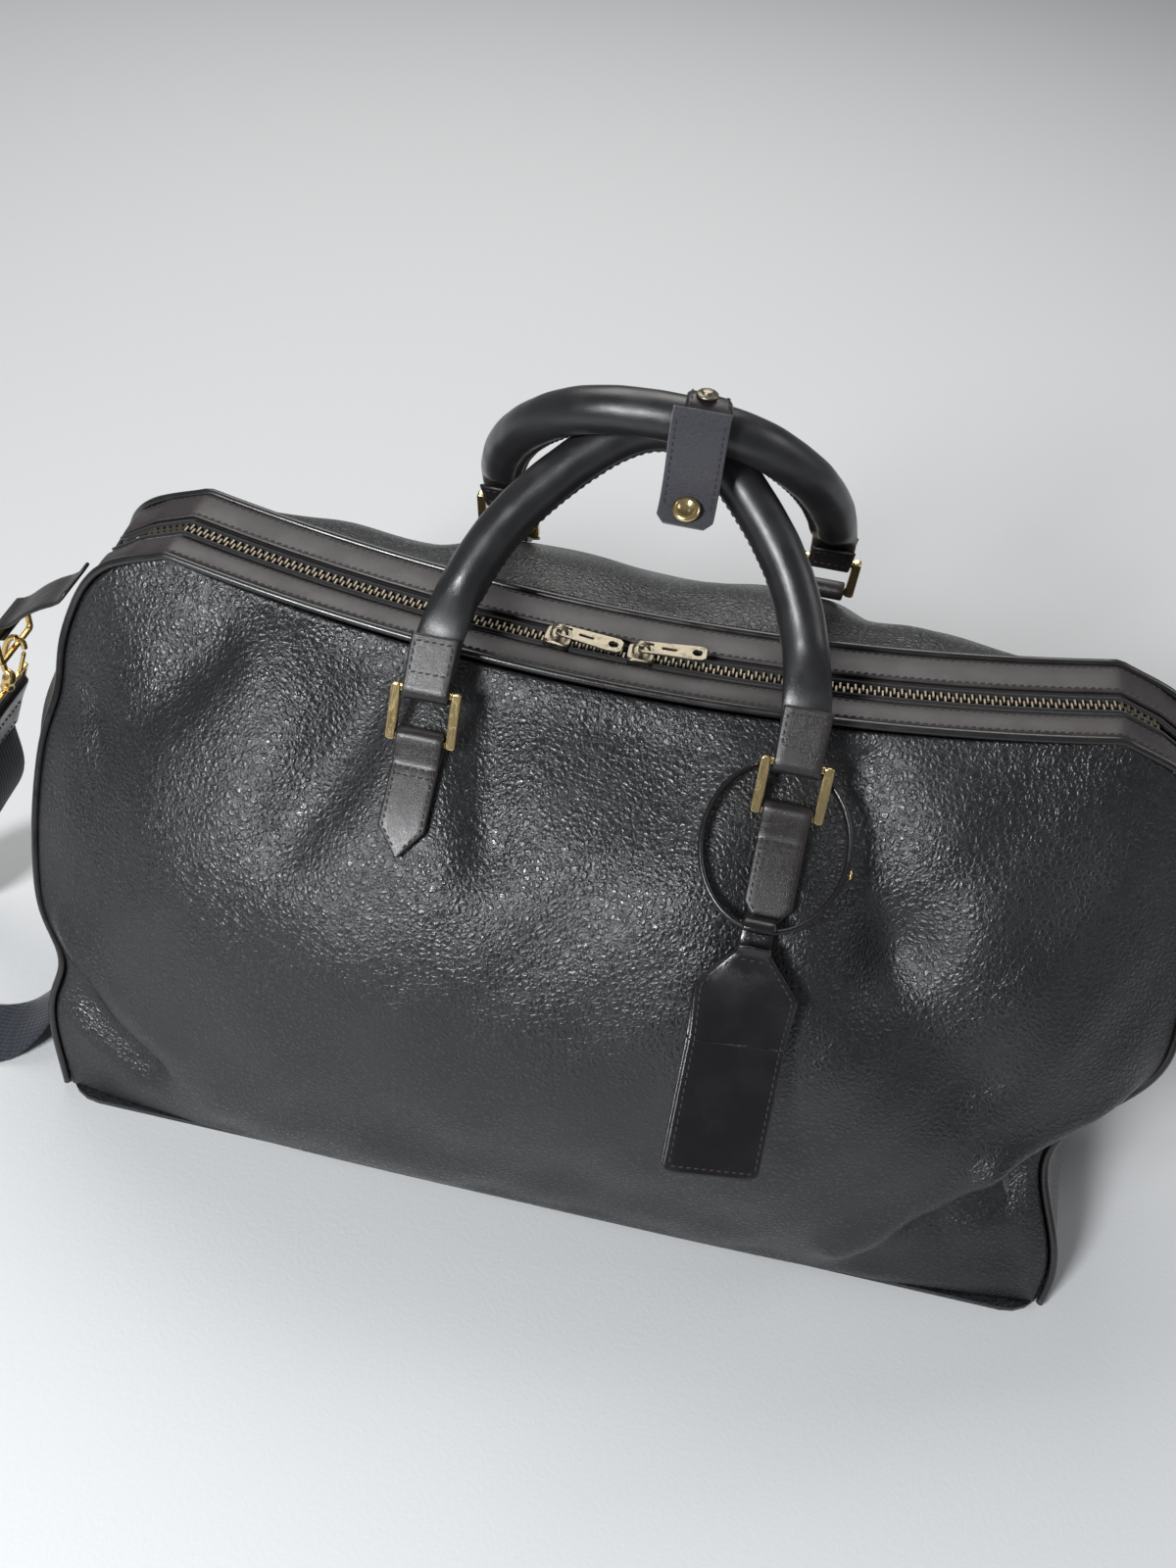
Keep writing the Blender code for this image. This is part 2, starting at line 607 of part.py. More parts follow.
def slide_axis(index):
    """Direction of a slider's run from its rest place outward along the zip."""
    x = SLIDER_X[index]
    far = x - SLIDER_RUN[0] if index == 0 else x + SLIDER_RUN[1]
    return unit(zip_point(far) - zip_point(x))


def make_sliders():
    for index, name in ((0, "left"), (1, "right")):
        along = slide_axis(index) * (-1 if index == 0 else 1)
        base = zip_point(SLIDER_X[index])
        across = unit(np.cross([0, 0, 1.0], along))
        up = np.cross(along, across)
        length, half = 0.0125, 0.0059

        def section(h):
            return [(-half, -0.0012), (-half + 0.0008, -0.0012), (-half + 0.0008, 0.0009),
                    (half - 0.0008, 0.0009), (half - 0.0008, -0.0012), (half, -0.0012),
                    (half, h), (-half, h)]
        path = np.array([base + along * d for d in (-length / 2, length / 2)])
        verts, faces = sweep(path, np.array([across] * 2), np.array([up] * 2),
                             [section(0.0024)] * 2)
        node("slider_" + name, verts, faces, "antique", origin=base, smooth=0)
        lug = base + up * 0.0053
        ring = frame_ring(lug, along, up, 0.0084, 0.0052, 0.0010, 0.0026)
        node("bridge_" + name, *ring, "antique", origin=base, smooth=0)
        pin = base + up * 0.0053
        node("pull_" + name, *pull_plate(pin, along, across, up), "antique", origin=pin,
             smooth=0)


def pull_plate(pin, along, across, up):
    """Flat pull tab with the slot that rides in the slider's bridge and a plain round hole."""
    half_w, half_t = PULL_W / 2, 0.0006
    slot = (0.0013, 0.0053, 0.0028)              # along from, along to, across half
    hole_at, hole_r, sides = PULL_LEN - 0.0065, 0.0022, 8
    outer = [(-0.0013, -half_w), (slot[1] + 0.006, -half_w), (PULL_LEN - 0.0022, -half_w),
             (PULL_LEN - 0.0022, half_w), (slot[1] + 0.006, half_w), (-0.0013, half_w)]
    verts, faces = [], []
    hole = [(hole_at + hole_r * math.cos(2 * math.pi * (k + 0.5) / sides),
             hole_r * math.sin(2 * math.pi * (k + 0.5) / sides)) for k in range(sides)]
    pane = [(slot[0], -slot[2]), (slot[1], -slot[2]), (slot[1], slot[2]), (slot[0], slot[2])]
    points = outer + pane + hole
    o, p, h = 0, 6, 10
    tops = [(o, o + 1, p + 1, p), (o + 1, o + 4, p + 2, p + 1), (o + 4, o + 5, p + 3, p + 2),
            (o + 5, o, p, p + 3)]
    rim = [(o + 1, [h + 4, h + 5, h + 6]), (o + 2, [h + 6, h + 7, h]), (o + 3, [h, h + 1, h + 2]),
           (o + 4, [h + 2, h + 3, h + 4])]
    for corner, ring in rim:
        tops += [(corner, ring[1], ring[0]), (corner, ring[2], ring[1])]
    tops += [(o + 1, o + 2, h + 6), (o + 2, o + 3, h), (o + 3, o + 4, h + 2), (o + 4, o + 1, h + 4)]
    count = len(points)
    for level in (half_t, -half_t):
        verts += [pin + along * a + across * c + up * level for a, c in points]
    faces += tops + [tuple(v + count for v in reversed(f)) for f in tops]
    for loop, out in (([0, 1, 2, 3, 4, 5], True), ([6, 7, 8, 9], False),
                      (list(range(10, 18)), False)):
        for k, n in zip(loop, loop[1:] + loop[:1]):
            quad = (n, k, k + count, n + count)
            faces.append(quad if out else tuple(reversed(quad)))
    return verts, faces


# ---------------------------------------------------------------- end rings, hooks, strap
END_Y = -0.018
END_RING_H = 0.0190


HOOK_WIRE, HOOK_HALF, HOOK_TALL = 0.0016, 0.0050, 0.0300
HOOK_SLANT = 20.0         # the strap draws its hooks outward by this many degrees
EYE_W, EYE_H, EYE_BAR = 0.0435, 0.0120, 0.0024


def make_end(side, name):
    """Roll tab sewn on the end panel, its ring, and the hook, gate and eye that hang there."""
    bar = np.array([side * END_X, END_Y, END_TAB_Z])
    wrap = 0.0034
    out, up = np.array([side, 0, 0.0]), np.array([0, 0, 1.0])
    path = [bar - out * 0.0250 + up * 0.0220, bar - out * 0.0160 + up * 0.0150,
            bar - out * 0.0070 + up * 0.0070]
    for turn in np.radians([100, 60, 20, -20, -60, -100, -140]):
        path.append(bar + wrap * (out * math.cos(turn) + up * math.sin(turn)))
    path = spline(path, 16)
    node("end_tab_" + name, *strap(path, (0, 1, 0), 0.026, TRIM), "smooth")
    centre = bar - up * (END_RING_H - 0.0026) / 2
    node("end_ring_" + name,
         *frame_ring(centre, (0, 1, 0), up, 0.0330, END_RING_H, 0.0026, 0.0026), "brass",
         origin=bar, smooth=0)

    tall = HOOK_TALL / 2 - HOOK_WIRE
    low_bar = bar - up * (END_RING_H - 0.0026)
    slant = math.radians(HOOK_SLANT)
    out, up = (np.array([side * math.cos(slant), 0, math.sin(slant)]),
               np.array([-side * math.sin(slant), 0, math.cos(slant)]))
    middle = low_bar + up * (0.0013 * 1.42 + GAP + HOOK_WIRE + 0.0014 - tall)

    def at(degrees):
        c, s = math.cos(math.radians(degrees)), math.sin(math.radians(degrees))
        return (middle + out * HOOK_HALF * math.copysign(abs(c) ** 0.7, c)
                + up * tall * math.copysign(abs(s) ** 0.8, s))
    stem = [middle - up * (tall + d) for d in (0.0105, 0.0072, 0.0040, 0.0008)]
    path = np.array(stem + [at(d) for d in range(-68, 151, 14)])
    radii = [0.0036, 0.0036, 0.0036, 0.0026] + [HOOK_WIRE] * (len(path) - 4)
    a, b = frames(path, (0, 1, 0))
    node("hook_" + name, *sweep(path, a, b, [circle(r, 8) for r in radii]), "brass",
         origin=middle)
    low, high = middle - out * 0.0047 - up * 0.0098, middle - out * 0.0045 + up * 0.0058
    node("gate_" + name, *tube([low, high], 0.0012, 8), "brass", origin=low)

    eye = stem[0] - up * (GAP + EYE_H / 2)
    node("strap_eye_" + name,
         *frame_ring(eye, (0, 1, 0), up, EYE_W, EYE_H, EYE_BAR, EYE_BAR), "brass",
         origin=eye, smooth=0)
    pin = eye - up * (EYE_H - EYE_BAR) / 2
    wrap = EYE_BAR * 0.71 + GAP + TRIM / 2 + 0.0003
    path = [pin + out * 0.0022 - up * d for d in (0.034, 0.022, 0.012)]
    path += [pin + wrap * (out * math.cos(t) + up * math.sin(t))
             for t in np.radians([-15, 30, 90, 150, 195])]
    path += [pin - out * 0.0022 - up * d for d in (0.012, 0.022, 0.034)]
    node("strap_end_" + name, *strap(spline(path, 24), (0, 1, 0), WEBBING_W, TRIM), "smooth")
    return pin - up * 0.0345


ON_EDGE, FLAT_DOWN = WEBBING_W / 2 + 0.0004, WEBBING_T / 2 + 0.0003


def make_strap(left, right):
    """Webbing from the left eye, over the ground and behind the bag, to the right eye."""
    def row(x, y, z, width):
        return (x, y, z, *width)
    y_axis, up, front = (0, 1, 0), (0, 0, 1), (0.28, -0.96, 0)
    route = [row(left[0], left[1], left[2], y_axis),
             row(-0.3350, -0.019, 0.088, y_axis),
             row(-0.3520, -0.025, 0.055, (0, 0.95, 0.3)),
             row(-0.3740, -0.038, 0.029, (0, 0.6, 0.8)),
             row(-0.3960, -0.060, ON_EDGE, up),
             row(-0.4050, -0.092, ON_EDGE, up),
             row(-0.3880, -0.124, 0.0165, (0, -0.6, 0.8)),
             row(-0.3560, -0.132, 0.0060, (0.2, -0.95, 0.25)),
             row(-0.3220, -0.122, FLAT_DOWN, front),
             row(-0.3030, -0.1155, 0.0020, front),
             row(-0.2900, -0.106, 0.0075, (0.62, -0.68, 0.4)),
             row(-0.2835, -0.088, 0.0150, (0.55, -0.25, 0.8)),
             row(-0.2820, -0.060, ON_EDGE, up),
             row(-0.2840, 0.040, ON_EDGE, up),
             row(-0.2840, 0.115, ON_EDGE, up),
             row(-0.2720, 0.157, ON_EDGE, up),
             row(-0.2350, 0.178, ON_EDGE, up),
             row(-0.1500, 0.180, ON_EDGE, up),
             row(0.0300, 0.180, ON_EDGE, up),
             row(0.2000, 0.178, ON_EDGE, up),
             row(0.2760, 0.160, ON_EDGE, up),
             row(0.3240, 0.115, ON_EDGE, up),
             row(0.3560, 0.060, ON_EDGE, up),
             row(0.3680, 0.022, 0.0220, (0, 0.25, 0.97)),
             row(0.3640, -0.004, 0.0350, (0, 0.7, 0.7)),
             row(0.3490, -0.016, 0.0590, (0, 0.95, 0.3)),
             row(0.3330, -0.018, 0.0880, y_axis),
             row(right[0], right[1], right[2], y_axis)]
    line = spline(route, 84)
    path, width = line[:, :3], unit(line[:, 3:])
    a, b = frames(path, width)
    half, t = WEBBING_W / 2, WEBBING_T / 2
    lift = np.abs(a[:, 2]) * half + np.abs(b[:, 2]) * t + 0.0003
    path[:, 2] = np.maximum(path[:, 2], lift)
    outline = [(-half, -t), (half, -t), (half, t), (-half, t)]
    node("webbing", *sweep(path, a, b, [outline] * len(path)), "webbing")


def main():
    for obj in list(bpy.data.objects):
        bpy.data.objects.remove(obj, do_unlink=True)
    make_body()
    make_top()
    make_carriers()
    make_keeper()
    make_tag()
    make_sliders()
    make_strap(make_end(-1, "left"), make_end(1, "right"))


main()
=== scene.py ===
"""Looks of the weekender bag: pebbled leather body with soft folds, smooth leather trim,
rolled handles, brass hardware, a toothed zip and a webbing strap, on a pale floor.

Every piece is made in the frame's own coordinates: +X along the bag, +Y to the back, +Z up.
"""
import math

import bpy
import numpy as np
from mathutils import Matrix, Vector


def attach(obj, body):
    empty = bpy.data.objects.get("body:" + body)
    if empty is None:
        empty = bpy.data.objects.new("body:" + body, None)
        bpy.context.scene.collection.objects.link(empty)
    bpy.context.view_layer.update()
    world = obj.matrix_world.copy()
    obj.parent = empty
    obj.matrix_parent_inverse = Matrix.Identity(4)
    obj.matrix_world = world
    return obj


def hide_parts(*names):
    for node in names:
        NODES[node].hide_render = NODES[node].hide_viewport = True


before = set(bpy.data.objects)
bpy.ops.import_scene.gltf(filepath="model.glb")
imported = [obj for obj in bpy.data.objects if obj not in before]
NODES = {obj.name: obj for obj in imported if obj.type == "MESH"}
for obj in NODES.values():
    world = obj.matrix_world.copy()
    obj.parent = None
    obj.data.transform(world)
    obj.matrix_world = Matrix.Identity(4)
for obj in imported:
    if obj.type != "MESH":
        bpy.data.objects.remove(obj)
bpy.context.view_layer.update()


# ---------------------------------------------------------------- camera
def make_camera():
    turn, down, roll = math.radians(-7.2), math.radians(44.5), math.radians(6.4)
    ahead = Vector((math.sin(turn) * math.cos(down), math.cos(turn) * math.cos(down),
                    -math.sin(down)))
    right = ahead.cross(Vector((0, 0, 1))).normalized()
    under = ahead.cross(right)
    side = right * math.cos(roll) - under * math.sin(roll)
    under = right * math.sin(roll) + under * math.cos(roll)
    data = bpy.data.cameras.new("camera")
    data.lens, data.sensor_width, data.clip_start = 33.75, 36.0, 0.01
    camera = bpy.data.objects.new("camera", data)
    bpy.context.scene.collection.objects.link(camera)
    camera.matrix_world = Matrix.Translation((0.051, -0.528, 0.686)) @ Matrix(
        (side, -under, -ahead)).transposed().to_4x4()
    bpy.context.scene.camera = camera


make_camera()


# ---------------------------------------------------------------- numbers shared with the part
GAP, TRIM = 0.0003, 0.0018
PIPING_R = 0.0020
WALL, LINING_T, LINING_LIFT = 0.0024, 0.0008, -0.0075
BAND = (0.024, 0.029)
HANDLE_X, HANDLE_R, HANDLE_DROP = 0.080, 0.0098, 0.129
RING_W, RING_H, RING_BAR = 0.0295, 0.0250, 0.0030
CHAPE_W, CHAPE_LEN, BAR_DOWN = 0.0210, 0.051, (0.044, 0.068)
RING_TILT, HANDLE_LEAN = (25.0, -16.0), (44.0, -35.5)
WEBBING_W, WEBBING_T = 0.038, 0.0016
END_X, END_Y, END_TAB_Z, END_RING_H = 0.3080, -0.018, 0.2130, 0.0190

SIDE = [(0.258, 0.0034), (0.2640, 0.045), (0.271, 0.095), (0.2755, 0.145), (0.274, 0.190),
        (0.265, 0.236), (0.247, 0.266), (0.214, 0.2805)]
SEAM = ([-0.137, -0.127, -0.106, -0.083, -0.058, -0.036, -0.030, -0.029],
        [0.134, 0.124, 0.104, 0.082, 0.059, 0.036, 0.025, 0.024])
MIDDLE = ([(-0.147, 0.0034), (-0.156, 0.036), (-0.161, 0.080), (-0.158, 0.128),
           (-0.143, 0.175), (-0.115, 0.215), (-0.080, 0.244), (-0.043, 0.2675)],
          [(0.143, 0.0034), (0.153, 0.036), (0.160, 0.080), (0.158, 0.130), (0.145, 0.176),
           (0.117, 0.217), (0.082, 0.245), (0.045, 0.2655), (0.010, 0.2675)])
ZIP_SAG = (0.014, 0.013)
END_BULGE = [0.003, 0.010, 0.017, 0.021, 0.020, 0.014, 0.003]
X, Y, Z = np.eye(3)
MM = 1000
SIDES = ((-1, "left"), (1, "right"))
ENDS = ((0, "front"), (1, "back"))


# ---------------------------------------------------------------- mesh helpers
def unit(v):
    v = np.asarray(v, float)
    return v / np.maximum(np.linalg.norm(v, axis=-1, keepdims=True), 1e-12)


def spline(points, count):
    """Catmull-Rom curve through the points, resampled to even steps."""
    p = np.asarray(points, float)
    p = np.vstack([2 * p[0] - p[1], p, 2 * p[-1] - p[-2]])
    fine = []
    for k in range(1, len(p) - 2):
        for t in np.linspace(0, 1, 24, endpoint=k == len(p) - 3):
            fine.append(0.5 * (2 * p[k] + (p[k + 1] - p[k - 1]) * t
                               + (2 * p[k - 1] - 5 * p[k] + 4 * p[k + 1] - p[k + 2]) * t ** 2
                               + (3 * p[k] - p[k - 1] - 3 * p[k + 1] + p[k + 2]) * t ** 3))
    return resample(np.array(fine), count)


def arc_length(path):
    """Running length at each point of a path."""
    return np.concatenate([[0], np.cumsum(np.linalg.norm(np.diff(path, axis=0), axis=1))])


def resample(path, count):
    """The path cut into `count` even steps."""
    run = arc_length(path[:, :3])
    at = np.linspace(0, run[-1], count + 1)
    return np.stack([np.interp(at, run, path[:, k]) for k in range(path.shape[1])], 1)


def points_at(path, run, at):
    """Where a path lies at the distances `at`, given its own running length."""
    return np.stack([np.interp(at, run, path[:, k]) for k in range(3)], -1)


def arc(centre, radius, first, second, degrees):
    """Points round a centre, from the axis `first` towards `second`."""
    return [centre + radius * (first * math.cos(t) + second * math.sin(t))
            for t in np.radians(degrees)]


def frames(path, across):
    """Unit axes along a path: `across` made square to the path, and the third one."""
    along = unit(np.gradient(path, axis=0))
    across = np.broadcast_to(np.asarray(across, float), path.shape)
    across = unit(across - along * np.sum(along * across, axis=1, keepdims=True))
    return across, np.cross(along, across)


def piece(name, verts, faces, look, body, stands_for=(), slot=None, smooth=True):
    """Mesh object in the row's frame that rides on a body and stands for CAD nodes."""
    mesh = bpy.data.meshes.new(name)
    mesh.from_pydata([tuple(v) for v in verts], [], [tuple(f) for f in faces])
    mesh.validate()
    mesh.materials.append(look)
    mesh.polygons.foreach_set("use_smooth", [smooth] * len(mesh.polygons))
    mesh.update()
    obj = bpy.data.objects.new(name, mesh)
    bpy.context.scene.collection.objects.link(obj)
    if body:
        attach(obj, body)
    if stands_for:
        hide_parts(*stands_for)
    return obj


def grid_normals(grid):
    """Unit normals of a grid of points."""
    return unit(np.cross(np.gradient(grid, axis=0), np.gradient(grid, axis=1)))


def shell(grid, thickness, lift=0.0, flip=False):
    """Thin solid under a grid of outer points."""
    normals = grid_normals(grid) * (-1 if flip else 1)
    outer = grid + normals * lift
    inner = outer - normals * thickness
    rows, cols = grid.shape[:2]
    verts = np.vstack([outer.reshape(-1, 3), inner.reshape(-1, 3)])
    below = rows * cols
    faces = []
    for i in range(rows - 1):
        for j in range(cols - 1):
            a, b = i * cols + j, (i + 1) * cols + j
            faces.append((a, b, b + 1, a + 1))
            faces.append((a + below + 1, b + below + 1, b + below, a + below))
    rim = ([i * cols for i in range(rows)] + [(rows - 1) * cols + j for j in range(1, cols)]
           + [i * cols + cols - 1 for i in range(rows - 2, -1, -1)]
           + [j for j in range(cols - 2, 0, -1)])
    for a, b in zip(rim, rim[1:] + rim[:1]):
        faces.append((b, a, a + below, b + below))
    return verts, [tuple(reversed(f)) for f in faces] if flip else faces


def skin(rings, sides, closed=False):
    """Faces over rings of vertices, with both ends capped unless they join up."""
    faces = []
    for i in range(rings if closed else rings - 1):
        k = (i + 1) % rings
        for s in range(sides):
            n = (s + 1) % sides
            faces.append((i * sides + s, i * sides + n, k * sides + n, k * sides + s))
    if not closed:
        faces.append(tuple(reversed(range(sides))))
        faces.append(tuple((rings - 1) * sides + s for s in range(sides)))
    return faces


def sweep(path, across, up, outline, closed=False):
    """Solid with `outline` (u, v) placed along a path on the axes `across` and `up`."""
    count = len(path)
    verts = [path[i] + u * across[i] + v * up[i] for i in range(count) for u, v in outline[i]]
    return verts, skin(count, len(outline[0]), closed)


def circle(radius, sides):
    """Outline of a round section."""
    turn = 2 * math.pi / sides
    return [(radius * math.cos(turn * k), radius * math.sin(turn * k)) for k in range(sides)]


def tube(path, radius, sides):
    """Round bar; `radius` may change along the path."""
    radii = np.broadcast_to(radius, (len(path),))
    return sweep(path, *frames(path, Y), [circle(r, sides) for r in radii])


def lozenge(width, thickness, flat=5, steps=4):
    """Outline of a strap's section: flat sides with half-round edges."""
    r = thickness / 2
    half = max(width / 2 - r, 0.0001)
    points = []
    for sign in (1, -1):
        points += [(sign * (half + r * math.cos(t)), sign * r * math.sin(t))
                   for t in np.linspace(-math.pi / 2, math.pi / 2, steps + 1)]
        points += [(sign * q, sign * r) for q in np.linspace(half, -half, flat + 2)[1:-1]]
    return points


def ribbon(path, across, width, thickness, widths=None):
    """Strap with rounded edges; `widths` gives its width at each point of the path."""
    a, b = frames(path, across)
    widths = np.broadcast_to(width, (len(path),)) if widths is None else widths
    return sweep(path, a, b, [lozenge(max(w, 0.0012), thickness) for w in widths])


def lathe(profile, centre, axis, sides=32):
    """Turned solid from (radius, height) pairs about an axis through `centre`."""
    axis = unit(axis)
    a = unit(np.cross(axis, X if abs(axis[0]) < 0.8 else Y))
    b = np.cross(axis, a)
    verts = [centre + axis * h + r * (a * math.cos(2 * math.pi * k / sides)
                                      + b * math.sin(2 * math.pi * k / sides))
             for r, h in profile for k in range(sides)]
    return verts, skin(len(profile), sides)


def joined(parts):
    """One vertex and face list from several."""
    verts, faces = [], []
    for v, f in parts:
        shift = len(verts)
        verts += list(v)
        faces += [tuple(k + shift for k in face) for face in f]
    return verts, faces


def stitches(path, normals, pitch=0.0034, length=0.0024, radius=0.00042, slant=0.12):
    """Row of small sewn threads lying on a surface along a path."""
    normals = np.broadcast_to(normals, path.shape)
    run = arc_length(path)
    count = max(int(run[-1] / pitch), 1)
    parts = []
    for k in range(count):
        at = (k + 0.5) * run[-1] / count
        p, q = points_at(path, run, at), points_at(path, run, min(at + 0.0005, run[-1]))
        n = unit(points_at(normals, run, at))
        along = unit(q - p) if np.linalg.norm(q - p) > 1e-7 else X
        side = np.cross(n, along)
        along = unit(along + side * slant)
        side = np.cross(n, along)
        verts = []
        for s, r in ((-0.5, 0.25), (-0.36, 0.8), (0.0, 1.0), (0.36, 0.8), (0.5, 0.25)):
            sink = -0.7 * radius if abs(s) > 0.4 else 0.0
            for t in range(6):
                turn = math.pi * t / 3
                verts.append(p + along * s * length + side * radius * r * math.cos(turn)
                             + n * (radius * r * math.sin(turn) * 0.8 + sink + radius * 0.2))
        parts.append((verts, skin(5, 6)))
    return joined(parts)


def plate(outer, holes, thickness, bevel, centre, right, up):
    """Flat metal plate cut from closed outlines, with soft edges. It is cut in millimetres."""
    curve = bpy.data.curves.new("plate", "CURVE")
    curve.dimensions, curve.fill_mode, curve.bevel_resolution = "2D", "BOTH", 2
    for outline in [outer] + list(holes):
        line = curve.splines.new("POLY")
        line.points.add(len(outline) - 1)
        for point, (x, y) in zip(line.points, outline):
            point.co = (x * MM, y * MM, 0, 1)
        line.use_cyclic_u = True
    curve.extrude = max(thickness / 2 - bevel, 0.00001) * MM
    curve.bevel_depth, curve.offset = bevel * MM, -bevel * MM
    obj = bpy.data.objects.new("plate", curve)
    bpy.context.scene.collection.objects.link(obj)
    bpy.context.view_layer.update()
    mesh = bpy.data.meshes.new_from_object(obj.evaluated_get(
        bpy.context.evaluated_depsgraph_get()))
    right, up = unit(right), unit(up)
    out = np.cross(right, up)
    verts = [np.asarray(centre) + (right * v.co[0] + up * v.co[1] + out * v.co[2]) / MM
             for v in mesh.vertices]
    faces = [tuple(p.vertices) for p in mesh.polygons]
    bpy.data.objects.remove(obj, do_unlink=True)
    bpy.data.curves.remove(curve)
    bpy.data.meshes.remove(mesh)
    return verts, faces


def rounded(width, height, radius, steps=5, at=(0, 0)):
    """Outline of a rectangle with rounded corners."""
    points = []
    for sx, sy, first in ((1, 1, 0), (-1, 1, 90), (-1, -1, 180), (1, -1, 270)):
        for k in range(steps + 1):
            t = math.radians(first + 90 * k / steps)
            points.append((at[0] + sx * (width / 2 - radius) + radius * math.cos(t),
                           at[1] + sy * (height / 2 - radius) + radius * math.sin(t)))
    return points


def frame_ring(centre, right, up, width, height, bar, depth, corner=0.003):
    hole = rounded(width - 2 * bar, height - 2 * bar, max(corner - bar * 0.6, 0.0008))
    return plate(rounded(width, height, corner), [hole], depth, min(bar, depth) * 0.22,
                 centre, right, up)


# ---------------------------------------------------------------- materials
class Look:
    """A Principled material being built from nodes."""

    def __init__(self, name, colour, roughness, metallic=0.0, **sockets):
        self.material = bpy.data.materials.new(name)
        self.material.use_nodes = True
        self.tree = self.material.node_tree
        self.shader = self.tree.nodes["Principled BSDF"]
        self.shader.inputs["Base Color"].default_value = (*colour, 1)
        self.shader.inputs["Roughness"].default_value = roughness
        self.shader.inputs["Metallic"].default_value = metallic
        for socket, value in sockets.items():
            self.shader.inputs[socket.replace("_", " ")].default_value = value
        self.coords = self.tree.nodes.new("ShaderNodeTexCoord").outputs["Object"]
        self.normal = None

    def link(self, a, b):
        self.tree.links.new(a, b)

    def add(self, kind, vector=None, **inputs):
        """A new node, with its inputs set and its coordinates linked."""
        node = self.tree.nodes.new("ShaderNode" + kind)
        for key, number in inputs.items():
            node.inputs[key.replace("_", " ")].default_value = number
        if "Vector" in node.inputs:
            self.link(vector or self.coords, node.inputs["Vector"])
        return node

    def stretch(self, scale):
        return self.add("Mapping", Scale=scale).outputs[0]

    def noise(self, scale, detail=3.0, vector=None, rough=0.55):
        return self.add("TexNoise", vector, Scale=scale, Detail=detail,
                        Roughness=rough).outputs["Fac"]

    def warped(self, scale, amount):
        """Coordinates nudged by noise, so that cells are not regular."""
        node = self.add("TexNoise", Scale=scale)
        mix = self.tree.nodes.new("ShaderNodeVectorMath")
        mix.operation = "MULTIPLY_ADD"
        mix.inputs[1].default_value = (amount,) * 3
        self.link(node.outputs["Color"], mix.inputs[0])
        self.link(self.coords, mix.inputs[2])
        return mix.outputs[0]

    def cells(self, scale, vector):
        node = self.add("TexVoronoi", vector, Scale=scale)
        node.feature = "DISTANCE_TO_EDGE"
        return node.outputs["Distance"]

    def wave(self, scale, direction):
        node = self.add("TexWave", Scale=scale)
        node.bands_direction = direction
        return node.outputs["Fac"]

    def span(self, value, low, high, to_low=0.0, to_high=1.0):
        node = self.tree.nodes.new("ShaderNodeMapRange")
        node.interpolation_type = "SMOOTHSTEP"
        for key, number in zip(("From Min", "From Max", "To Min", "To Max"),
                               (low, high, to_low, to_high)):
            node.inputs[key].default_value = number
        self.link(value, node.inputs["Value"])
        return node.outputs[0]

    def math(self, operation, a, b):
        node = self.tree.nodes.new("ShaderNodeMath")
        node.operation = operation
        for value, socket in zip((a, b), node.inputs):
            if isinstance(value, (int, float)):
                socket.default_value = value
            else:
                self.link(value, socket)
        return node.outputs[0]

    def blend(self, factor, first, second):
        node = self.tree.nodes.new("ShaderNodeMix")
        node.data_type = "RGBA"
        self.link(factor, node.inputs["Factor"])
        for value, socket in ((first, node.inputs[6]), (second, node.inputs[7])):
            if isinstance(value, tuple):
                socket.default_value = (*value, 1)
            else:
                self.link(value, socket)
        return node.outputs[2]

    def colour(self, value):
        self.link(value, self.shader.inputs["Base Color"])

    def roughness(self, value):
        self.link(value, self.shader.inputs["Roughness"])

    def bump(self, height, distance, strength=1.0):
        node = self.tree.nodes.new("ShaderNodeBump")
        node.inputs["Distance"].default_value = distance
        node.inputs["Strength"].default_value = strength
        self.link(height, node.inputs["Height"])
        if self.normal:
            self.link(self.normal, node.inputs["Normal"])
        self.normal = node.outputs[0]
        self.link(self.normal, self.shader.inputs["Normal"])


def pebbled_leather():
    """Tumbled hide: rounded pebbles with fine creases between."""
    look = Look("pebbled_leather", (0.010, 0.011, 0.012), 0.36, Specular_IOR_Level=0.62)
    bent = look.warped(170.0, 0.0034)
    pebbles = look.span(look.cells(360.0, bent), 0.0, 0.34)
    small = look.span(look.cells(900.0, bent), 0.0, 0.30)
    patch = look.span(look.noise(16.0, 3.0), 0.35, 0.68)
    fine = look.noise(2600.0, 2.0)
    height = look.math("ADD", look.math("MULTIPLY", pebbles, 0.72),
                       look.math("MULTIPLY", small, 0.22))
    look.bump(height, 0.00070, 0.48)
    look.bump(fine, 0.00005, 0.5)
    # painted shade: the base colour is darkened down into the creases between the pebbles
    crease_painted_shade = look.blend(pebbles, (0.0030, 0.0032, 0.0037), (0.0105, 0.0110, 0.0125))
    look.colour(look.blend(patch, crease_painted_shade, (0.0105, 0.0108, 0.0120)))
    look.roughness(look.math("ADD", look.math("MULTIPLY", patch, 0.08),
                             look.span(pebbles, 0.0, 1.0, 0.40, 0.235)))
    return look.material


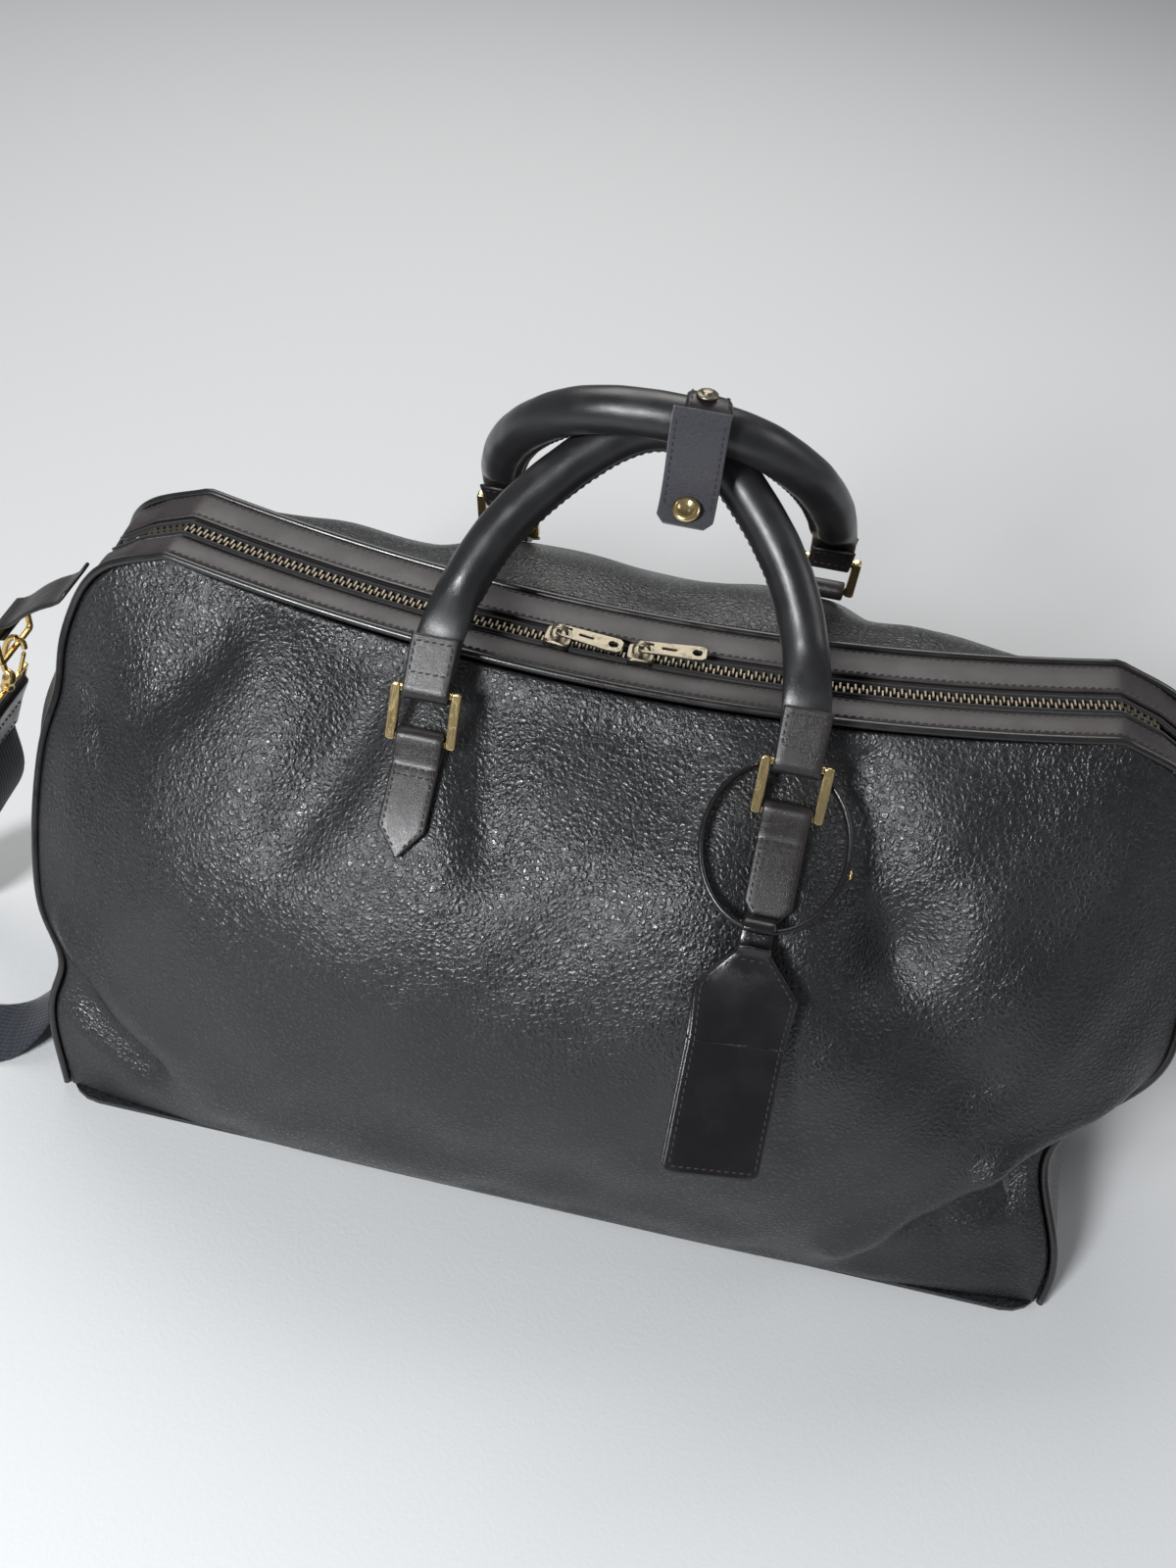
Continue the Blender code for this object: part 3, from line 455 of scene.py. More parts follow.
def smooth_leather(name, colour, rough, grain=0.00006):
    """Fine calf leather with faint pores, soft blotches and paler worn spots."""
    look = Look(name, colour, rough, Specular_IOR_Level=0.5, Coat_Weight=0.10,
                Coat_Roughness=0.28)
    pores = look.cells(1500.0, look.warped(300.0, 0.001))
    blotch = look.span(look.noise(60.0, 4.0), 0.35, 0.7)
    worn = look.span(look.noise(420.0, 5.0, rough=0.7), 0.62, 0.80)
    light = tuple(min(c * 1.75 + 0.004, 1) for c in colour)
    base = look.blend(blotch, colour, tuple(c * 1.28 for c in colour))
    look.colour(look.blend(look.math("MULTIPLY", worn, 0.5), base, light))
    look.roughness(look.span(blotch, 0.0, 1.0, rough - 0.05, rough + 0.07))
    look.bump(look.span(pores, 0.0, 0.25), grain, 0.55)
    look.bump(look.noise(120.0, 4.0), 0.00035, 0.28)
    return look.material


def edge_leather():
    """Glossy wrapped piping."""
    look = Look("piping_leather", (0.0105, 0.0095, 0.0100), 0.27, Coat_Weight=0.25,
                Coat_Roughness=0.18)
    look.bump(look.noise(700.0, 3.0), 0.00012, 0.4)
    look.roughness(look.span(look.noise(90.0, 3.0), 0.3, 0.7, 0.22, 0.38))
    return look.material


def suede():
    """Matt nap of the keeper flap."""
    look = Look("suede", (0.026, 0.025, 0.032), 0.92, Sheen_Weight=0.35, Sheen_Roughness=0.5)
    nap = look.noise(1700.0, 4.0, rough=0.75)
    look.colour(look.blend(look.span(nap, 0.3, 0.7), (0.017, 0.017, 0.021),
                           (0.050, 0.050, 0.062)))
    look.bump(nap, 0.0004, 0.8)
    return look.material


def metal(name, colour, dark, rough, wear_scale=300.0):
    """Brushed and handled metal with tarnish in patches and fine scratches."""
    look = Look(name, colour, rough, 1.0)
    tarnish = look.span(look.noise(wear_scale, 4.0, rough=0.65), 0.50, 0.74)
    streaks = look.noise(60.0, 2.0, look.stretch((40.0, 3.0, 3.0)))
    look.colour(look.blend(look.math("MULTIPLY", tarnish, 0.55), colour, dark))
    look.roughness(look.math("ADD", look.math("MULTIPLY", tarnish, 0.14),
                             look.span(streaks, 0.3, 0.7, rough - 0.05, rough + 0.06)))
    look.bump(streaks, 0.00003, 0.3)
    return look.material


def webbing_look():
    """Tight ribbed webbing."""
    look = Look("webbing_weave", (0.014, 0.016, 0.026), 0.78, Sheen_Weight=0.2)
    ribs = look.math("MULTIPLY", look.wave(110.0, "X"), look.wave(150.0, "Z"))
    both = look.math("ADD", ribs, look.wave(130.0, "Y"))
    look.colour(look.blend(look.span(both, 0.2, 1.3), (0.007, 0.008, 0.013),
                           (0.024, 0.028, 0.044)))
    look.bump(both, 0.0003, 0.6)
    look.bump(look.noise(2200.0, 2.0), 0.0001, 0.5)
    return look.material


def cloth(name, colour):
    """Plain weave for the zip tapes and the lining."""
    look = Look(name, colour, 0.85, Sheen_Weight=0.15)
    weave = look.math("MULTIPLY", look.wave(330.0, "X"), look.wave(330.0, "Y"))
    look.colour(look.blend(weave, tuple(c * 0.6 for c in colour),
                           tuple(c * 1.5 for c in colour)))
    look.bump(weave, 0.00015, 0.6)
    return look.material


def thread(name, colour):
    """Twisted sewing thread."""
    look = Look(name, colour, 0.62)
    look.bump(look.wave(900.0, "DIAGONAL"), 0.0001, 0.6)
    look.colour(look.blend(look.noise(500.0), colour, tuple(c * 1.8 for c in colour)))
    return look.material


HIDE = pebbled_leather()
SMOOTH = smooth_leather("smooth_leather", (0.0120, 0.0095, 0.0100), 0.36)
STRIP = smooth_leather("strip_leather", (0.0230, 0.0175, 0.0185), 0.46)
GRIP = smooth_leather("grip_leather", (0.0110, 0.0110, 0.0125), 0.34, 0.00004)
TAG = smooth_leather("tag_leather", (0.0070, 0.0062, 0.0072), 0.24, 0.00004)
EDGE = edge_leather()
SUEDE = suede()
BRASS = metal("ring_brass", (0.78, 0.60, 0.30), (0.42, 0.29, 0.12), 0.20)
ANTIQUE = metal("pull_brass", (0.26, 0.23, 0.175), (0.11, 0.09, 0.065), 0.38)
TEETH = metal("teeth_brass", (0.20, 0.175, 0.135), (0.06, 0.05, 0.04), 0.38, 900.0)
HOOK = metal("hook_brass", (0.70, 0.49, 0.19), (0.36, 0.22, 0.08), 0.25)
WEBBING = webbing_look()
LINING = cloth("lining_cotton", (0.050, 0.050, 0.056))
TAPE = cloth("tape_weave", (0.012, 0.011, 0.012))
THREAD = thread("dark_thread", (0.018, 0.015, 0.016))
PALE_THREAD = thread("brown_thread", (0.075, 0.058, 0.050))


# ---------------------------------------------------------------- body surfaces
def seam(side, end, count):
    """Corner seam from the base to the top corner, on the side -1 or +1."""
    xz = np.array(SIDE)
    return spline(np.stack([side * xz[:, 0], np.array(SEAM[end]), xz[:, 1]], 1), count)


def face_grid(end, up=16, along=18, reach=1.0):
    """Outer surface of the front (0) or back (1) face, before it settles."""
    corner, middle = seam(1, end, up), spline(MIDDLE[end], up)
    s = np.linspace(-reach, reach, along + 1)[:, None]
    w = 1 - np.abs(s) ** (3.6 - 1.6 * (np.arange(up + 1) / up) ** 2)
    return np.stack([s * corner[:, 0],
                     corner[:, 1] * (1 - w) + middle[:, 0] * w,
                     corner[:, 2] * (1 - w) + middle[:, 1] * w], 2)


def bell(value, centre, width):
    """1 at the centre, fading to 0 on both sides."""
    return np.exp(-((value - centre) / width) ** 2)


def ease(value, low, high):
    """0 below `low`, 1 above `high`, with a smooth step between."""
    t = np.clip((value - low) / (high - low), 0, 1)
    return t * t * (3 - 2 * t)


# the right end's pinch and overhang, the left end's notch and tuck:
# place and width along the bag, height and width up it, shift along and shift back
SLUMPS = ((0.275, 0.052, 0.082, 0.040, -0.030, 0.010), (0.262, 0.035, 0.140, 0.020, 0.003, 0.0),
          (-0.275, 0.040, 0.078, 0.018, 0.010, 0.0), (-0.265, 0.030, 0.205, 0.016, 0.0035, 0.0))


def settle(points):
    """The unfilled bag slumps: its lower right end is drawn in, its left end pinched."""
    p = np.array(points, float)
    x, y, z = p[..., 0].copy(), p[..., 1].copy(), p[..., 2].copy()
    front = 1 - ease(y, -0.03, 0.09)
    for at_x, wide, at_z, tall, along, back in SLUMPS:
        amount = bell(x, at_x, wide) * bell(z, at_z, tall) * front
        p[..., 0] += along * amount
        p[..., 1] += back * amount
    return p


# soft grooves (+) and ridges (-) of the front face: (x, z) to (x, z), half width, depth
FRONT_FOLDS = [((0.104, 0.256), (0.142, 0.206), 0.018, 0.0105),
               ((0.142, 0.206), (0.185, 0.158), 0.026, 0.0105),
               ((0.050, 0.215), (0.112, 0.165), 0.026, -0.0042),
               ((0.236, 0.235), (0.215, 0.175), 0.024, -0.0030),
               ((-0.062, 0.262), (-0.044, 0.222), 0.014, 0.0062),
               ((-0.100, 0.262), (-0.132, 0.212), 0.018, 0.0075),
               ((-0.150, 0.235), (-0.190, 0.180), 0.030, -0.0030),
               ((-0.186, 0.255), (-0.240, 0.210), 0.015, 0.0050),
               ((-0.215, 0.235), (-0.262, 0.185), 0.010, -0.0020),
               ((0.150, 0.040), (0.208, 0.106), 0.012, -0.0050),
               ((0.208, 0.106), (0.262, 0.130), 0.011, -0.0055),
               ((0.198, 0.058), (0.252, 0.088), 0.021, 0.0175),
               ((0.170, 0.025), (0.235, 0.035), 0.016, 0.0060),
               ((-0.262, 0.075), (-0.205, 0.046), 0.012, 0.0085),
               ((-0.255, 0.102), (-0.195, 0.078), 0.013, -0.0035),
               ((-0.100, 0.060), (0.080, 0.050), 0.024, 0.0026),
               ((-0.030, 0.255), (0.030, 0.250), 0.018, 0.0030)]
BACK_FOLDS = [((-0.110, 0.252), (-0.150, 0.195), 0.024, 0.0060),
              ((0.100, 0.252), (0.140, 0.190), 0.022, 0.0060),
              ((-0.240, 0.050), (-0.190, 0.085), 0.016, 0.0050),
              ((0.230, 0.050), (0.170, 0.090), 0.020, 0.0060),
              ((-0.050, 0.080), (0.060, 0.070), 0.030, 0.0020),
              ((0.000, 0.262), (0.010, 0.225), 0.030, 0.0040)]


def fold_depth(x, z, folds):
    """How far the folds push a face in at each point."""
    depth = np.zeros_like(x)
    for (ax, az), (bx, bz), width, amount in folds:
        dx, dz = bx - ax, bz - az
        t = np.clip(((x - ax) * dx + (z - az) * dz) / (dx * dx + dz * dz), 0, 1)
        away = np.hypot(x - ax - t * dx, z - az - t * dz)
        depth += amount * np.exp(-(away / width) ** 2)
    return depth


def soft_ripple(x, z):
    """Slow, shallow unevenness of unfilled leather."""
    return (0.0007 * np.sin(21 * x + 34 * z + 0.4) + 0.0006 * np.sin(47 * x - 29 * z + 1.9)
            + 0.0004 * np.sin(83 * x + 61 * z + 3.1) + 0.0003 * np.sin(139 * x - 117 * z))


def calm(x, z):
    """0 under the chapes, where the leather is held flat, and 1 away from them."""
    held = sum(bell(x, side * HANDLE_X, 0.017) for side in (-1, 1))
    return 1 - np.clip(held, 0, 1) * ease(z, 0.165, 0.195)


def folded(end, grid):
    """The face grid with its folds pushed in, easing to nothing at its sewn edges."""
    rows, cols = grid.shape[:2]
    s = np.linspace(0, 1, rows)[:, None]
    u = np.linspace(0, 1, cols)[None, :]
    rim = ease(np.minimum(s, 1 - s), 0, 0.05) * (1 - ease(u, 0.93, 1.0)) * ease(u, 0.0, 0.04)
    normals = grid_normals(grid) * (1 if end == 0 else -1)
    x, z = grid[..., 0], grid[..., 2]
    depth = fold_depth(x, z, FRONT_FOLDS if end == 0 else BACK_FOLDS) + soft_ripple(x, z)
    return settle(grid - normals * (depth * rim * calm(x, z))[..., None])


def inset_edges(grid, distance):
    """Draws the two ends and the top edge of a face grid in by `distance`."""
    along, up = grid.shape[0] - 1, grid.shape[1] - 1
    fine = grid.copy()
    reach = 6
    for j in range(up + 1):
        for i0, step in ((0, 1), (along, -1)):
            pull = unit(grid[i0 + step * 3, j] - grid[i0, j])
            for k in range(reach):
                fine[i0 + step * k, j] += pull * distance * (1 - k / reach)
    for i in range(along + 1):
        pull = unit(grid[i, up - 3] - grid[i, up])
        for k in range(reach):
            fine[i, up - k] += pull * distance * (1 - k / reach)
    return fine


def make_panels():
    for end, name in ENDS:
        along, up = (240, 150) if end == 0 else (160, 110)
        grid = folded(end, face_grid(end, up, along))
        grid = inset_edges(grid, PIPING_R + GAP + 0.0009)
        piece(name + "_hide", *shell(grid, WALL, flip=end == 1), HIDE, "bag", [name + "_panel"])
        inside = folded(end, face_grid(end, 60, 96, reach=0.93))[:, 3:-3]
        piece(name + "_lining_cloth", *shell(inside, LINING_T, LINING_LIFT, end == 1), LINING,
              "bag", [name + "_lining"])
        edge = face_grid(end, 60, 120)
        path = np.vstack([edge[0], edge[1:-1, -1], edge[-1][::-1]])
        path[0, 2] = path[-1, 2] = PIPING_R + 0.0014
        path = settle(resample(path, 300))
        piece(name + "_piping_cord", *tube(path, PIPING_R, 12), EDGE, "bag", [name + "_piping"])


def make_end_panels():
    rows_up = 72
    for side, name in SIDES:
        top = int(rows_up * 13 / 16)
        front, back = seam(side, 0, rows_up)[:top], seam(side, 1, rows_up)[:top]
        t = np.linspace(0, 1, top)
        bulge = np.interp(t, np.linspace(0, 1, len(END_BULGE)), END_BULGE)
        rows = []
        for f, b, out, height in zip(front, back, bulge, t):
            half = (b[1] - f[1]) / 2
            reach = 1 - (PIPING_R + GAP + 0.0001) / half
            q = np.linspace(-reach, reach, 61)[:, None]
            crease = 0.0030 * bell(q, -0.45, 0.16) * bell(height, 0.62, 0.25)
            crease += 0.0040 * bell(q, 0.42, 0.20) * bell(height, 0.30, 0.22)
            crease += 0.0012 * np.sin(9 * q + 14 * height)
            rows.append((f + b) / 2 + (b - f) / 2 * q
                        + X * side * (out * (1 - q * q) - crease * (1 - q ** 4)
                                      * ease(height, 0, 0.1) * (1 - ease(height, 0.8, 1.0))))
        rows = settle(np.array(rows))
        piece("end_hide_" + name, *shell(rows, WALL, flip=side > 0), HIDE, "bag",
              ["end_panel_" + name])


# ---------------------------------------------------------------- top band and zip
def zip_point(x, offset=0.0):
    """Point on the top band at `x`, `offset` behind the zip's middle line."""
    bow = (x / SIDE[-1][0]) ** 2
    return np.array([x, SEAM[0][-1] + BAND[0] - ZIP_SAG[0] * (1 - bow) + offset,
                     SIDE[-1][1] - ZIP_SAG[1] * (1 - bow)])


def band_path(offset):
    """Line along the top band at a depth `offset` from the zip, over both top corners."""
    front, back = seam(1, 0, 16)[13:-1], seam(1, 1, 16)[13:-1]
    middle = front + (back - front) * BAND[0] / sum(BAND)
    spread = (back - front)[:, 1] / sum(BAND)
    right = [(p[0], p[1] + offset * k, p[2]) for p, k in zip(middle, spread)]
    left = [(-x, y, z) for x, y, z in right]
    flat = [zip_point(x, offset) for x in np.linspace(-1, 1, 19) * SIDE[-1][0]]
    return np.array(left + flat + right[::-1])


def band_grid(sign, near, far, ends, along, across, crown=0.0):
    """Strip of the top band between two distances from the zip."""
    lines = []
    for k in range(across + 1):
        line = band_path(sign * (near + (far - near) * k / across))
        line = line[ends:len(line) - ends]
        line = resample(line, along)
        line[:, 2] += crown * (1 - (2 * k / across - 1) ** 2)
        lines.append(line)
    return np.stack(lines if sign > 0 else lines[::-1], 1)


STRIP_LIFT, TAPE_T = 0.0004, 0.0007


def make_top():
    for name, sign in (("front", -1), ("back", 1)):
        width = BAND[sign > 0]
        near, far = 0.0085, width - PIPING_R - GAP - 0.0002
        grid = band_grid(sign, near, far, 0, 220, 10, 0.0007)
        piece(name + "_strip_leather", *shell(grid, TRIM, lift=STRIP_LIFT), STRIP, "bag",
              [name + "_top_strip"])
        rows = [stitches(resample(grid[:, k], 200) + Z * STRIP_LIFT, Z, radius=0.00040)
                for k in ((1, 9) if sign > 0 else (9, 1))]
        piece(name + "_strip_stitches", *joined(rows), THREAD, "bag")
        tape = band_grid(sign, 0.0032 + GAP, 0.0160, 1, 160, 6)
        piece(name + "_tape_cloth", *shell(tape, TAPE_T, lift=STRIP_LIFT - TRIM - GAP), TAPE, "bag",
              [name + "_zip_tape"])
        beads = tube(resample(band_path(sign * 0.0044)[1:-1], 160) - Z * 0.0004, 0.0008, 8)
        piece(name + "_tape_bead", *beads, TAPE, "bag")
        make_teeth(name, sign)


TOOTH_PITCH = 0.0034


def make_teeth(name, sign):
    """Row of cast teeth, each a rounded block that reaches just past the middle."""
    line = resample(band_path(0)[2:-2], 400)
    run = arc_length(line)
    parts = []
    at = TOOTH_PITCH * (0.75 if sign > 0 else 0.25)
    outline = [(0.0011, 0.62), (0.0005, 1.0), (-0.0030, 1.0), (-0.0036, 0.7)]
    while at < run[-1]:
        p = points_at(line, run, at)
        along = unit(points_at(line, run, at + 0.0006) - p)
        across = unit(np.cross(Z, along)) * -sign
        up = np.cross(along, across) * -sign
        if up[2] < 0:
            up = -up
        verts = []
        for reach, scale in outline:
            for a, b in ((-1, -0.55), (-1, 0.45), (-0.55, 1), (0.55, 1), (1, 0.45), (1, -0.55),
                         (0.55, -1), (-0.55, -1)):
                verts.append(p + across * reach + along * a * 0.00068 * scale
                             + up * (b * 0.00115 * scale - 0.00145))
        parts.append((verts, skin(len(outline), 8)))
        at += TOOTH_PITCH
    piece(name + "_zip_teeth", *joined(parts), TEETH, "bag", [name + "_zip_chain"],
          smooth=False)


SLIDER_X = (-0.034, 0.004)
SLIDER_RUN = (0.150, 0.145)
PULL_LEN, PULL_W = 0.0315, 0.0095


def slider_axes(index):
    """Place of a slider, with the directions along, across and out of the chain."""
    x = SLIDER_X[index]
    far = x - SLIDER_RUN[0] if index == 0 else x + SLIDER_RUN[1]
    along = unit(zip_point(far) - zip_point(x)) * (-1 if index == 0 else 1)
    across = unit(np.cross(Z, along))
    return zip_point(x), along, across, np.cross(along, across)


def make_sliders():
    for index, name in ((0, "left"), (1, "right")):
        base, along, across, up = slider_axes(index)
        body = "zip_slider_" + name
        shield = [(-0.0062, 0.0030), (-0.0058, 0.0046), (-0.0030, 0.0054), (0.0020, 0.0058),
                  (0.0050, 0.0056), (0.0062, 0.0042)]
        shield = shield + [(x, -y) for x, y in shield[::-1]]
        parts = [plate(shield, [], 0.0015, 0.0004, base + up * 0.0016, along, across)]
        for s in (-1, 1):
            flange = [base + along * a + across * s * 0.0055 + up * 0.0004
                      for a in (-0.0056, -0.0030, 0.0, 0.0030, 0.0056)]
            parts.append(ribbon(np.array(flange), up, 0.0032, 0.0008))
        piece("slider_body_" + name, *joined(parts), ANTIQUE, body, ["slider_" + name])
        arch = [base + along * 0.0037 * math.cos(t)
                + up * (0.0030 + 0.0046 * math.sin(t)) for t in np.linspace(0, math.pi, 17)]
        arch = [arch[0] - up * 0.0010] + arch + [arch[-1] - up * 0.0010]
        piece("slider_arch_" + name, *ribbon(np.array(arch), across, 0.0026, 0.0010), ANTIQUE,
              body, ["bridge_" + name])
        pin = base + up * 0.0053
        length, half = PULL_LEN - 0.0022, PULL_W / 2
        edge = [(-0.0013, half * 0.62), (0.0006, half * 0.80), (0.0100, half * 0.86),
                (length - 0.0060, half), (length - 0.0018, half), (length, half - 0.0018)]
        outer = [(x, -y) for x, y in edge] + edge[::-1]
        hole = [(PULL_LEN - 0.0065 + x, y) for x, y in circle(0.0021, 28)]
        window = rounded(0.0040, 0.0056, 0.0009, at=(0.0033, 0.0))
        slot = rounded(0.0068, 0.0016, 0.0007, at=(0.0125, 0.0))
        piece("pull_tab_" + name, *plate(outer, [hole, window, slot], 0.0012, 0.00025,
                                         pin, along, across), ANTIQUE, "zip_pull_" + name,
              ["pull_" + name])


# ---------------------------------------------------------------- rings, chapes, handles
WRAP = RING_BAR * 0.71 + GAP + TRIM / 2 + 0.0004     # leather's mid line round a ring's bar


def lean(angle):
    """Unit direction in the depth-height plane, leaning to the back by `angle` degrees."""
    turn = math.radians(angle)
    return np.array([0.0, math.sin(turn), math.cos(turn)])


def slope_profile(end, x, length, count):
    """Points down a face at `x`, with the outward directions there."""
    grid = face_grid(end)
    profile = np.array([[np.interp(x, grid[:, j, 0], grid[:, j, k]) for k in range(3)]
                        for j in range(grid.shape[1])])[::-1]
    profile = spline(profile, 160)
    at = np.linspace(0, length, count + 1)
    run = arc_length(profile)
    points = points_at(profile, run, at)
    points[:, 0] = x
    out = unit(np.cross(X, np.gradient(points, axis=0))) * (-1 if end == 0 else 1)
    return points, out


def lower_bar(end):
    """Middle of the lower bars of the rings on one face."""
    points, out = slope_profile(end, HANDLE_X, 0.14, 140)
    k = int(round(BAR_DOWN[end] / 0.001))
    bar = points[k] + out[k] * (GAP + TRIM / 2 + WRAP + 0.0006)
    bar[0] = 0
    return bar


LOWER = [lower_bar(0), lower_bar(1)]
UPPER = [LOWER[end] + lean(RING_TILT[end]) * (RING_H - RING_BAR) for end in (0, 1)]


def make_chape(name, x, end):
    """Leather tab folded round a ring's lower bar and sewn down the face, pointed below."""
    points, out = slope_profile(end, x, 0.16, 160)
    bar = LOWER[end] + X * x
    k = int(round(BAR_DOWN[end] / 0.001))
    low, high = GAP + TRIM / 2 + 0.0005, GAP * 2 + TRIM * 1.5 + 0.0008
    path = [points[k + d] + out[k + d] * low for d in (13, 9, 5)]
    down = unit(points[k + 1] - points[k - 1])
    path += arc(bar, WRAP, down, out[k], [-90, -135, 180, 135, 90])
    path += [points[k + 6] + out[k + 6] * (high + 0.0022),
             points[k + 11] + out[k + 11] * high]
    last = k + int(CHAPE_LEN * 1000)
    path += [points[d] + out[d] * high for d in range(k + 15, last, 6)]
    path.append(points[last] + out[last] * high)
    path = np.array(path)
    path[:, 0] = x
    path = spline(path, 90)
    run = arc_length(path)
    left = run[-1] - run
    widths = CHAPE_W * np.clip(0.06 + left / 0.0135, 0, 1)
    widths = np.where(left < 0.0017, CHAPE_W * 0.18 * np.sqrt(left / 0.0017 + 0.05), widths)
    piece(name + "_leather", *ribbon(path, X, CHAPE_W, TRIM, widths), SMOOTH, "bag", [name])
    start = int(np.argmin(np.linalg.norm(path - points[k + 11] - out[k + 11] * high, axis=1)))
    line = path[start:]
    facing = frames(line, X)[1]
    lift = facing * np.sign(np.sum(facing * out[k + 20], axis=1, keepdims=True)) * TRIM / 2
    inset = 0.0021
    margin = np.maximum(widths[start:] / 2 - inset, 0.0)[:, None]
    keep = left[start:] > 0.0036
    rows = [stitches((line + X * s * margin + lift)[keep], unit(lift)[keep], pitch=0.0031,
                     length=0.0022) for s in (-1, 1)]
    across = np.linspace(-1, 1, 9)[:, None] * (CHAPE_W / 2 - inset) * X
    rows += [stitches(line[at] + lift[at] + across, unit(lift[at]), pitch=0.0031)
             for at in (2, 6)]
    piece(name + "_stitches", *joined(rows), THREAD, "bag")


# a handle's centre line in its own plane: (half spacing, distance from the ring's upper bar)
HANDLE_LINES = ([(0.0800, 0.0060), (0.0790, 0.0240), (0.0730, 0.050), (0.0610, 0.077),
                 (0.0420, 0.102), (0.0200, 0.1220), (0.0, HANDLE_DROP)],
                [(0.0800, 0.0060), (0.0795, 0.0240), (0.0770, 0.050), (0.0700, 0.076),
                 (0.0560, 0.101), (0.0330, 0.1220), (0.0, HANDLE_DROP)])
FLAT = 0.0245             # length of a handle's flattened end inside its tab


def handle_line(end, count):
    """Centre line of a handle from its left end to its right end."""
    half = HANDLE_LINES[end]
    line = [(-x, h) for x, h in half] + [(x, h) for x, h in half[-2::-1]]
    return np.array([UPPER[end] + X * x + lean(HANDLE_LEAN[end]) * h
                     for x, h in spline(line, count)])


SEAM_TURN = (math.pi + 0.75, math.pi - 0.35)   # where the sewn edge runs round each handle
SEAM_TALL = 0.0021


def make_handle(end, name, body):
    """Rolled leather sleeve: flat ends, a round middle and a sewn edge along its inside."""
    count, sides = 170, 44
    path = handle_line(end, count)
    up = lean(HANDLE_LEAN[end])
    normal = np.cross(X, up)
    along = unit(np.gradient(path, axis=0))
    out = np.broadcast_to(normal, path.shape)
    side = np.cross(out, along)
    height = (path - UPPER[end]) @ up
    grow = ease(height, FLAT, FLAT + 0.026)
    pressed = bell(np.abs(path[:, 0]), 0.031, 0.016) * (end == 1)
    outline, ridge = [], []
    for i, g in enumerate(grow):
        wide = 0.0104 * (1 - g) + HANDLE_R * g
        thick = 0.0021 * (1 - g) + HANDLE_R * g
        ring = []
        tall = SEAM_TALL * g * (1 - 0.9 * pressed[i])
        for k in range(sides):
            t = 2 * math.pi * k / sides
            gap = math.remainder(t - SEAM_TURN[end], 2 * math.pi)
            bump = tall * math.exp(-(gap / 0.20) ** 4)
            dip = -0.0005 * g * math.exp(-((abs(gap) - 0.36) / 0.12) ** 2)
            r = 1 + (bump + dip) / HANDLE_R
            wobble = 1 + 0.010 * g * math.sin(0.55 * i + 2 * math.sin(t)) * math.sin(0.19 * i)
            ring.append((wide * math.cos(t) * r * wobble, thick * math.sin(t) * r * wobble))
        outline.append(ring)
        t = SEAM_TURN[end]
        radial = side[i] * math.cos(t) + out[i] * math.sin(t)
        tangent = -side[i] * math.sin(t) + out[i] * math.cos(t)
        ridge.append((path[i] + radial * (HANDLE_R + tall * 0.62), tangent, radial))
    piece(name + "_roll", *sweep(path, side, out, outline), GRIP, body, [name])
    inner = (grow > 0.85) & (pressed < 0.35)
    rows = []
    for sign in (-1, 1):
        spots = np.array([p + t * sign * 0.00165 for p, t, _ in ridge])
        facing = np.array([unit(t * sign + r * 0.25) for _, t, r in ridge])
        for part in np.split(np.arange(len(spots)), np.nonzero(np.diff(inner))[0] + 1):
            if len(part) > 8 and inner[part[1]]:
                rows.append(stitches(spots[part], facing[part], pitch=0.0036, slant=0.0))
    piece(name + "_stitches", *joined(rows), PALE_THREAD, body)
    make_handle_tabs(end, name, body, normal, up)


def make_handle_tabs(end, name, body, normal, up):
    """Leather ends of a handle, each folded round a ring and sewn through."""
    for sx, side_name in SIDES:
        path = [UPPER[end] + normal * WRAP + up * h for h in (0.0235, 0.012, 0.002)]
        path += arc(UPPER[end], WRAP, normal, up, [0, -45, -90, -135, 180])
        path += [UPPER[end] - normal * WRAP + up * h for h in (0.002, 0.012, 0.0235)]
        path = spline(np.array(path) + X * sx * HANDLE_X, 60)
        widths = CHAPE_W * (1 - 0.04 * bell(np.linspace(-1, 1, 61), 0, 0.5))
        piece(f"{name}_tab_leather_{side_name}", *ribbon(path, X, CHAPE_W, TRIM, widths),
              SMOOTH, body, [f"{name}_tab_{side_name}"])
        rows = []
        for sign in (-1, 1):
            face_line = UPPER[end] + X * sx * HANDLE_X + normal * sign * (WRAP + TRIM / 2)
            low, high, side = 0.0070, 0.0205, CHAPE_W / 2 - 0.0022
            across = np.linspace(-1, 1, 7)[:, None] * side * X
            upward = np.linspace(low, high, 7)[:, None] * up
            for line in [across + up * h for h in (high, low)] + [upward + X * s * side
                                                                  for s in (-1, 1)]:
                rows.append(stitches(face_line + line, normal * sign, pitch=0.003))
        piece(f"{name}_tab_stitches_{side_name}", *joined(rows), THREAD, body)


def make_carriers():
    for end, name in ENDS:
        up = lean(RING_TILT[end])
        for sx, side in SIDES:
            centre = LOWER[end] + up * (RING_H - RING_BAR) / 2 + X * sx * HANDLE_X
            make_chape(f"{name}_chape_{side}", sx * HANDLE_X, end)
            parts = [frame_ring(centre, X, up, RING_W, RING_H, RING_BAR, 0.0030)]
            for s in (-1, 1):
                parts.append(plate(rounded(0.0044, RING_H + 0.0006, 0.0016), [], 0.0040,
                                   0.0006, centre + X * s * (RING_W / 2 - 0.0014), X, up))
            piece(f"{name}_loop_{side}", *joined(parts), BRASS, name + "_rings",
                  [f"{name}_ring_{side}"])
        make_handle(end, name + "_handle", name + "_grip")


# ---------------------------------------------------------------- keeper on the back handle
KEEPER_X, KEEPER_W = 0.016, 0.0225


